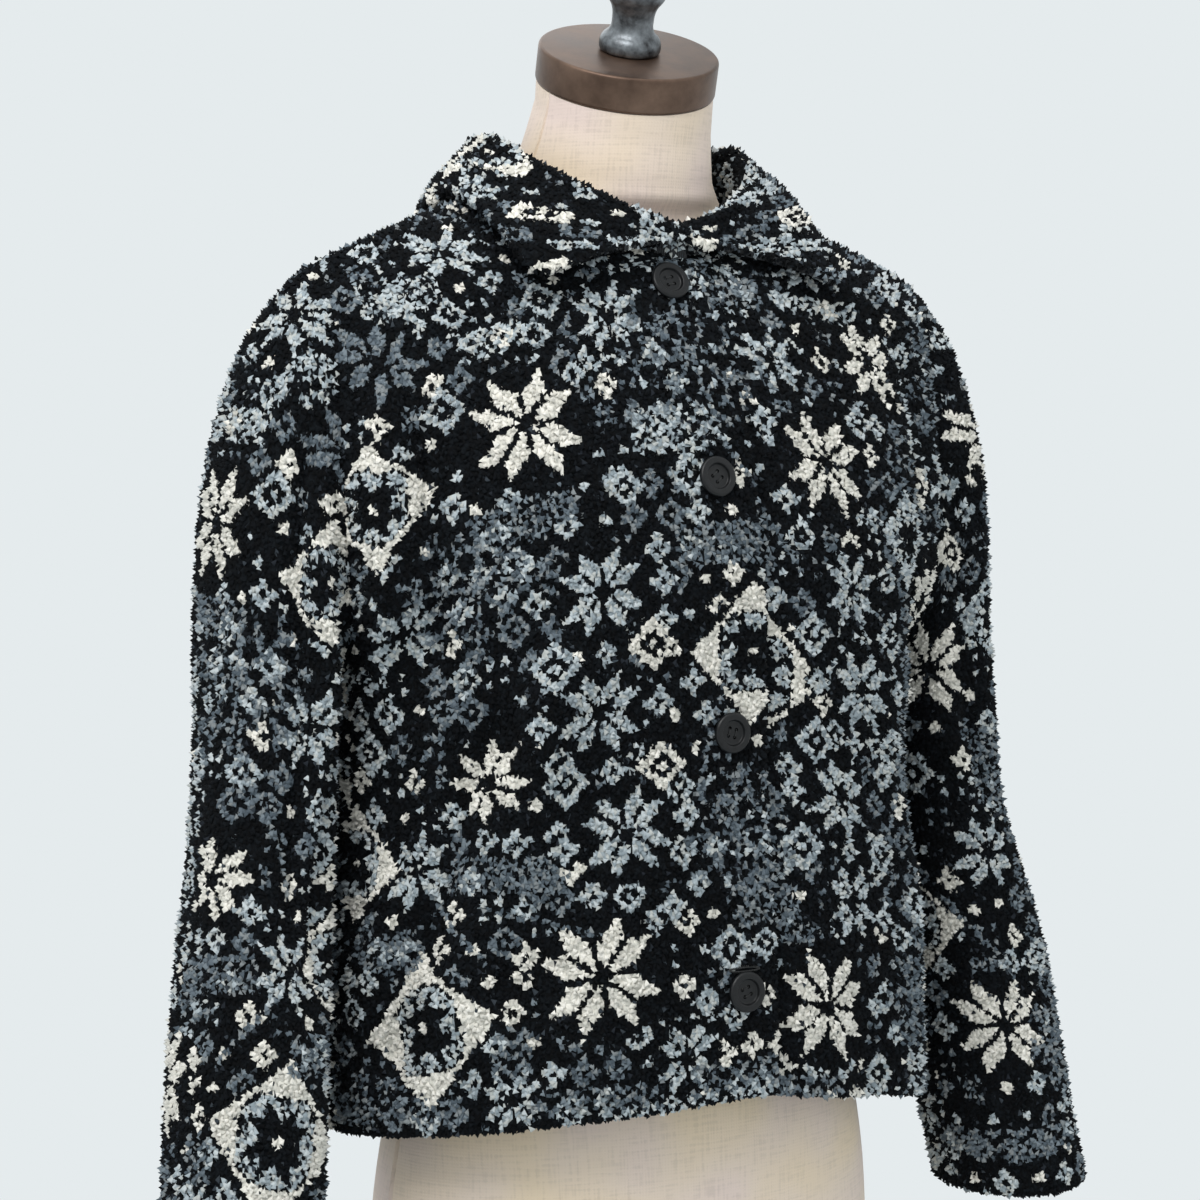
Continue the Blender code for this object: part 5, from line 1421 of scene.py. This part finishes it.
def metalMaterial(name, colours, roughness, grainMm, strength, metallic, squeeze=(1, 1, 1), patch=38):
    material, tree, shader = newMaterial(name, colours[0], roughness[0], metallic)
    place = addNode(tree, "ShaderNodeTexCoord")
    stretch = addNode(tree, "ShaderNodeMapping", {"Scale": squeeze}, {"Vector": place.outputs["Object"]})
    patches = addNode(tree, "ShaderNodeTexNoise", {"Scale": patch, "Detail": 5, "Roughness": 0.6},
                      {"Vector": place.outputs["Object"]})
    grain = addNode(tree, "ShaderNodeTexNoise", {"Scale": 1000 / grainMm / 2, "Detail": 3},
                    {"Vector": stretch.outputs["Vector"]})
    addNode(tree, "ShaderNodeValToRGB", {}, {"Fac": patches.outputs["Fac"]}, shader.inputs["Base Color"],
            [(0.32, colours[0]), (0.68, colours[1])])
    addNode(tree, "ShaderNodeMapRange", {"To Min": roughness[0], "To Max": roughness[1]},
            {"Value": patches.outputs["Fac"]}, shader.inputs["Roughness"])
    addNode(tree, "ShaderNodeBump", {"Strength": strength, "Distance": 0.0003},
            {"Height": grain.outputs["Fac"]}, shader.inputs["Normal"])
    return material


# patinated steel cap, brown lacquer over brushed metal: a soft broad shine, fine lines round it
bronzeCap = metalMaterial("patinatedSteelCap", ("#4f3d32", "#735d4f"), (0.30, 0.5), 0.9, 0.2, 0.7,
                          squeeze=(1, 1, 6))
# sand-cast iron, sealed and worn: fine grit of about 1 mm, and rubbed patches that shine grey
castIron = metalMaterial("sandCastIron", ("#2f2f31", "#8b9094"), (0.30, 0.52), 1.1, 0.6, 0.85, patch=95)
# powder-coated steel of the stand: even, matt, slightly pebbled
coatedSteel = metalMaterial("powderCoatedSteel", ("#2a2b2d", "#303134"), (0.45, 0.55), 0.8, 0.25, 0.3)

capR = neck["capRadius"]
capT = neck["capThick"]
capMesh = lathe("capTurned", rounded([(0, capT), (capR, capT), (capR, 0.0), (0, 0)], neck["capEdge"]),
                144, capFrame())
capPiece = finishPiece("capTurned", capMesh, bronzeCap, sharp=40)
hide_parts("neck_cap")

finialProfile = [
    (0.0, 0.0800), (0.0070, 0.0790), (0.0120, 0.0750), (0.0145, 0.0690), (0.0130, 0.0620),
    (0.0105, 0.0570), (0.0150, 0.0530), (0.0190, 0.0465), (0.0200, 0.0400), (0.0180, 0.0335),
    (0.0145, 0.0290), (0.0130, 0.0240), (0.0128, 0.0160), (0.0145, 0.0120), (0.0178, 0.0095),
    (0.0192, 0.0060), (0.0192, 0.0), (0.0, 0.0),
]
finialPlace = capFrame() @ Matrix.Translation((0, 0, capT + neck["gap"]))
finialMesh = lathe("finialCast", rounded(finialProfile, 0.004, 4), 72, finialPlace)
finialPiece = finishPiece("finialCast", finialMesh, castIron, sharp=50)
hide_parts("finial")

stand = dict(baseRadius=0.165, baseThick=0.014, baseEdge=0.003, columnRadius=0.0165, columnEdge=0.0006,
             formBottom=0.235)
baseMesh = lathe("baseDisc", rounded([
    (0, stand["baseThick"]), (stand["baseRadius"], stand["baseThick"]), (stand["baseRadius"], 0.0), (0, 0),
], stand["baseEdge"]), 160, Matrix())
basePiece = finishPiece("baseDisc", baseMesh, coatedSteel, sharp=40)
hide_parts("base")
columnMesh = lathe("columnTube", rounded([
    (0, stand["formBottom"] - neck["gap"]), (stand["columnRadius"], stand["formBottom"] - neck["gap"]),
    (stand["columnRadius"], stand["baseThick"] + neck["gap"]), (0, stand["baseThick"] + neck["gap"]),
], stand["columnEdge"]), 64, Matrix())
columnPiece = finishPiece("columnTube", columnMesh, coatedSteel, sharp=40)
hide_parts("column")
print("cap, finial and stand turned")


# the form: padded torso under stretched linen, with a seam down each side

formSections = namedRows("z halfX front back y tip", [
    (0.235, 0.150, 0.084, 0.092, 0.000, 0),
    (0.243, 0.166, 0.097, 0.104, 0.000, 0),
    (0.290, 0.173, 0.103, 0.110, 0.000, 0),
    (0.360, 0.170, 0.103, 0.107, 0.000, 0),
    (0.440, 0.155, 0.098, 0.096, 0.000, 0),
    (0.530, 0.128, 0.088, 0.080, 0.000, 0),
    (0.610, 0.127, 0.092, 0.084, 0.000, 0),
    (0.690, 0.148, 0.110, 0.098, 0.000, 0),
    (0.740, 0.158, 0.112, 0.106, 0.000, 0),
    (0.800, 0.166, 0.098, 0.108, 0.000, 0),
    (0.850, 0.174, 0.082, 0.102, 0.000, 0),
    (0.890, 0.182, 0.066, 0.092, 0.000, 0),
    (0.912, 0.188, 0.056, 0.084, 0.000, 0),
    (0.926, 0.186, 0.050, 0.078, 0.000, 0),
    (0.936, 0.162, 0.046, 0.072, 0.002, 0),
    (0.946, 0.124, 0.045, 0.067, 0.006, 0),
    (0.956, 0.093, 0.047, 0.062, 0.010, 2),
    (0.966, 0.075, 0.052, 0.059, 0.013, 6),
    (0.982, 0.0645, 0.059, 0.060, 0.013, 12),
    (1.000, 0.0595, 0.057, 0.058, 0.008, 18),
    (1.020, 0.0560, 0.055, 0.055, 0.0025, 23),
])
form = dict(
    clearance=0.0008,         # from the solids of the cloth
    seams=2,
    seamTurn=2,               # degrees from the wearer's left to the first one
    seam=((0, -0.0013), (0.5, -0.00078), (1.3, 0.0004), (2.6, 0)),    # degrees from its middle, lift
    between=57,               # columns from seam to seam
    rows=46,                  # up to the shoulders
    neckRows=26,
    shoulder=0.90,
    step=0.0005,              # by which it is drawn in under the cloth
)


def drawInFrom(tree, centre, offset):
    reach = offset.length
    way = offset.normalized()
    hit = tree.ray_cast(centre, way, reach + 0.02)
    if hit[0] is not None:
        reach = min(reach, hit[3] - form["clearance"])
    for _ in range(60):
        near = tree.find_nearest(centre + way * reach, 0.02)
        if near[0] is None or near[3] >= form["clearance"]:
            break
        reach -= form["step"]
    return way * reach


def formTurns():
    # angles round the form, close together with a seam's cross-section at each side
    seam = form["seam"]
    gap = 360 / form["seams"] - 2 * seam[-1][0]
    turns = []
    for k in range(form["seams"]):
        middle = 360 * k / form["seams"] + form["seamTurn"]
        turns += [(middle - a, lift) for a, lift in seam[:0:-1]] + [(middle + a, lift) for a, lift in seam]
        start = middle + seam[-1][0]
        turns += [(start + gap * (i + 1) / (form["between"] + 1), 0) for i in range(form["between"])]
    return [(math.radians(a), lift) for a, lift in turns]


def makeForm(material):
    tree = nodeTree("front_right", "front_left", "back", "sleeve_right", "sleeve_left", "collar")
    turns = formTurns()
    heights = [s["z"] for s in formSections]
    levels = np.concatenate([[heights[0], 0.2375, 0.2405],
                             np.linspace(heights[1], form["shoulder"], form["rows"]),
                             np.linspace(form["shoulder"] + 0.005, heights[-1], form["neckRows"])])
    rings = []
    for z in levels:
        look = readTable(formSections, z)
        centre = Vector((0, look["y"], z))
        tip = Matrix.Rotation(math.radians(look["tip"]), 3, "X")
        ring = []
        for turn, lift in turns:
            depth = look["back"] if math.sin(turn) > 0 else look["front"]
            offset = tip @ Vector((look["halfX"] * math.cos(turn), depth * math.sin(turn), 0))
            offset = drawInFrom(tree, centre, offset)
            ring.append(centre + offset + offset.normalized() * lift)
        rings.append(ring)
    frameOfCap = capFrame()
    reach = neck["capRadius"] * neck["linenRadius"]
    top = []
    for turn, lift in turns:
        a = turn - neck["turn"]              # the cap is turned, the cloth's seams are not
        top.append(frameOfCap @ Vector((reach * math.cos(a), reach * math.sin(a), -neck["gap"])))
    # two rings between the last section and the cap keep the neck's line even
    for t in (0.34, 0.67):
        rings.append([a.lerp(b, t) for a, b in zip(rings[len(levels) - 1], top)])
    rings.append(top)
    count = len(turns)
    points = np.array([[list(p) for p in ring] for ring in rings])
    closed = np.concatenate([points, points, points[:, :1]], axis=1)
    acrossForm = lengthAlong(closed, 1)
    upForm = closed[:, :, 2]
    vertices = points.reshape(-1, 3).tolist()
    faces = []
    places = []
    block = count // form["seams"]
    valley = len(form["seam"]) - 1
    for i in range(len(rings) - 1):
        for j in range(count):
            k = (j + 1) % count
            faces.append((i * count + j, i * count + k, (i + 1) * count + k, (i + 1) * count + j))
            far = j if j >= valley else j + count            # the cloth starts anew at each seam
            middle = valley + (far - valley) // block * block + block // 2
            for row, column in ((i, far), (i, far + 1), (i + 1, far + 1), (i + 1, far)):
                places.append((acrossForm[row, column] - acrossForm[row, middle], upForm[row, column]))
    bottom = tuple(range(count))[::-1]
    lid = tuple(range(len(vertices) - count, len(vertices)))
    faces += [bottom, lid]
    places += [(vertices[i][0], vertices[i][1]) for i in bottom + lid]
    mesh = bpy.data.meshes.new("formLinen")
    mesh.from_pydata(vertices, [], faces)
    layer = mesh.uv_layers.new(name="linenMetres")
    layer.data.foreach_set("uv", np.array(places, dtype=np.float32).ravel())
    piece = finishPiece("formLinen", mesh, material, sharp=45)
    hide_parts("form_body")
    return piece


def linenMaterial():
    # natural linen, plain weave, stretched over padding: matt, with thick and thin yarns.
    # yarns lie 1.9 mm apart here, much coarser than real ones, so that they show
    pitch = 0.0019
    material, tree, shader = newMaterial("plainWeaveLinen", "#e0cfbc", 0.88, Sheen_Weight=0.1)
    flat = addNode(tree, "ShaderNodeUVMap", uv_map="linenMetres").outputs["UV"]
    threads = []
    for direction in ("X", "Y"):
        threads.append(addNode(tree, "ShaderNodeTexWave",
                               {"Scale": 0.314 / pitch, "Distortion": 0.25, "Detail": 1, "Detail Scale": 2},
                               {"Vector": flat}, bands_direction=direction))
    weave = addNode(tree, "ShaderNodeMath", {}, {k: node.outputs["Fac"] for k, node in enumerate(threads)},
                    operation="MULTIPLY")
    slubs = []
    for squeeze in ((520, 45, 1), (45, 520, 1)):
        stretch = addNode(tree, "ShaderNodeMapping", {"Scale": squeeze}, {"Vector": flat})
        slubs.append(addNode(tree, "ShaderNodeTexNoise", {"Scale": 1, "Detail": 3},
                             {"Vector": stretch.outputs["Vector"]}))
    slub = addNode(tree, "ShaderNodeMath", {}, {k: node.outputs["Fac"] for k, node in enumerate(slubs)},
                   operation="ADD")
    height = addNode(tree, "ShaderNodeMath", links={0: weave.outputs[0], 1: slub.outputs[0]}, operation="ADD")
    # it has yellowed unevenly
    stain = addNode(tree, "ShaderNodeTexNoise", {"Scale": 13, "Detail": 1}, {"Vector": flat})
    tint = addNode(tree, "ShaderNodeValToRGB", {}, {"Fac": stain.outputs["Fac"]},
                   stops=[(0.36, "#e1cdb2"), (0.52, "#deccbb"), (0.66, "#dcc9c0")])
    yarn = addNode(tree, "ShaderNodeValToRGB", {}, {"Fac": slub.outputs[0]},
                   stops=[(0.78, "#f3f3f3"), (1.0, "#ffffff")])
    mixed = addNode(tree, "ShaderNodeMix", {0: 1.0}, {6: tint.outputs[0], 7: yarn.outputs[0]},
                    data_type="RGBA", blend_type="MULTIPLY")
    tree.links.new(mixed.outputs[2], shader.inputs["Base Color"])
    addNode(tree, "ShaderNodeBump", {"Strength": 0.2, "Distance": 0.0003}, {"Height": height.outputs[0]},
            shader.inputs["Normal"])
    return material


makeForm(linenMaterial())
print("form covered")


# buttons with their thread, and the buttonhole

def resinMaterial():
    # cast polyester resin, black, turned and tumbled: a soft satin shine, a little cloudy
    material, tree, shader = newMaterial("castPolyesterResin", "#0c0d0e", 0.36, IOR=1.5,
                                         Specular_IOR_Level=0.32)
    place = addNode(tree, "ShaderNodeTexCoord")
    cloud = addNode(tree, "ShaderNodeTexNoise", {"Scale": 420, "Detail": 3},
                    {"Vector": place.outputs["Object"]})
    addNode(tree, "ShaderNodeValToRGB", {}, {"Fac": cloud.outputs["Fac"]}, shader.inputs["Base Color"],
            [(0.3, "#090a0b"), (0.7, "#131416")])
    addNode(tree, "ShaderNodeMapRange", {"To Min": 0.28, "To Max": 0.46},
            {"Value": cloud.outputs["Fac"]}, shader.inputs["Roughness"])
    return material


def threadMaterial():
    # spun polyester sewing thread, black, with the twist of its two plies
    material, tree, shader = newMaterial("spunPolyesterThread", "#0e0f10", 0.7, Sheen_Weight=0.2)
    place = addNode(tree, "ShaderNodeTexCoord")
    twist = addNode(tree, "ShaderNodeTexWave", {"Scale": 900, "Distortion": 1},
                    {"Vector": place.outputs["Object"]}, bands_direction="DIAGONAL")
    addNode(tree, "ShaderNodeBump", {"Strength": 0.4, "Distance": 0.0002}, {"Height": twist.outputs["Fac"]},
            shader.inputs["Normal"])
    return material


def drilledButton():
    profile = rounded([
        (0.0, buttons["dish"]), (0.0064, buttons["dish"]), (0.0072, 0.0018), (0.0079, 0.0038),
        (0.0112, 0.0038),
        (buttons["radius"], 0.0027), (buttons["radius"], 0.0010), (0.0110, 0.0), (0.0, 0.0),
    ], 0.0006, 4)
    blank = addObject("buttonBlank", lathe("buttonBlank", profile, 64, Matrix()))
    drills = []
    for k in range(4):
        a = math.pi / 4 + k * math.pi / 2
        reach = buttons["spread"] * math.sqrt(2)
        place = Matrix.Translation((reach * math.cos(a), reach * math.sin(a), 0))
        drill = lathe("drill", [(0, 0.006), (buttons["hole"], 0.006), (buttons["hole"], -0.002), (0, -0.002)],
                      20, place)
        cutter = addObject("drill", drill)
        cut = blank.modifiers.new("hole", "BOOLEAN")
        cut.object = cutter
        cut.operation = "DIFFERENCE"
        drills.append(cutter)
    bpy.context.view_layer.update()
    mesh = bpy.data.meshes.new_from_object(blank.evaluated_get(bpy.context.evaluated_depsgraph_get()))
    for old in [blank] + drills:
        bpy.data.objects.remove(old)
    return mesh


def tubeAlong(points, radius, sides=6):
    # a small closed tube through points
    points = [Vector(p) for p in points]
    vertices = []
    for k, point in enumerate(points):
        ahead = points[min(k + 1, len(points) - 1)] - points[max(k - 1, 0)]
        across = ahead.normalized().orthogonal().normalized()
        other = ahead.normalized().cross(across)
        for s in range(sides):
            a = 2 * math.pi * s / sides
            vertices.append(point + (across * math.cos(a) + other * math.sin(a)) * radius)
    faces = []
    for k in range(len(points) - 1):
        for s in range(sides):
            t = (s + 1) % sides
            faces.append((k * sides + s, k * sides + t, (k + 1) * sides + t, (k + 1) * sides + s))
    faces += [tuple(range(sides))[::-1], tuple(range(len(vertices) - sides, len(vertices)))]
    return vertices, faces


def joined(name, tubes, place=Matrix()):
    vertices = []
    faces = []
    for points, quads in tubes:
        start = len(vertices)
        vertices += [place @ Vector(p) for p in points]
        faces += [tuple(start + i for i in face) for face in quads]
    mesh = bpy.data.meshes.new(name)
    mesh.from_pydata([tuple(p) for p in vertices], [], faces)
    return mesh


def threadTubes():
    # two parallel bars of two turns each, through the holes and down to the cloth
    tubes = []
    d = buttons["spread"]
    for y in (-d, d):
        for turn in (-0.0002, 0.0002):
            face = buttons["dish"]
            top = face + 0.00022
            tubes.append(tubeAlong([(-d, y + turn, 0.0002), (-d, y + turn, face), (-d * 0.75, y + turn, top),
                                    (0, y + turn, top + 0.0001), (d * 0.75, y + turn, top),
                                    (d, y + turn, face), (d, y + turn, 0.0002)], 0.00016))
    return tubes


def buttonholeMesh(name, seat, slit):
    # a worked slit: close stitches round a narrow opening, laid on the cloth over the button
    half = slit["half"]
    normal = seat.to_3x3() @ Vector((0, 0, 1))
    middle = seat.translation + Vector((0, 0, slit["rise"]))
    across = Vector((0, 0, 1)).cross(normal).normalized()
    up = normal.cross(across).normalized()

    def onCloth(x, z, lift):
        start = middle + across * x + up * z + normal * 0.01
        hit = frontTree.ray_cast(start, -normal, 0.03)
        spot = hit[0] if hit[0] is not None else start - normal * 0.01
        return spot + normal * lift

    outline = [onCloth(half * math.cos(math.pi * k / 20), slit["cordWide"] * math.sin(math.pi * k / 20),
                       slit["cordLift"]) for k in range(41)]
    tubes = [tubeAlong(outline, slit["cord"])]
    for k in range(slit["stitches"]):
        a = 2 * math.pi * k / slit["stitches"]
        line = [onCloth(half * math.cos(a) * share, wide * math.sin(a), lift)
                for share, wide, lift in slit["stitch"]]
        tubes.append(tubeAlong(line, slit["thread"], 5))
    return joined(name, tubes)


resin = resinMaterial()
thread = threadMaterial()
blankMesh = drilledButton()
for k, seat in enumerate(seats, 1):
    mesh = blankMesh.copy()
    mesh.transform(seat)
    piece = finishPiece("buttonTurned_%d" % k, mesh, resin, sharp=35)
    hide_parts("button_%d" % k)
    finishPiece("buttonThread_%d" % k, joined("buttonThread", threadTubes(), seat), thread)
slit = buttons["slit"]
finishPiece("buttonhole", buttonholeMesh("buttonhole", seats[slit["button"]], slit), thread)
print("buttons sewn on")

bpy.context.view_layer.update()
triangles = {p.name: len(p.data.loops) - 2 * len(p.data.polygons) for p in bpy.data.objects
             if p.type == "MESH" and not p.hide_render}
print("triangles in all:", sum(triangles.values()), "most in a piece:", max(triangles.values()))
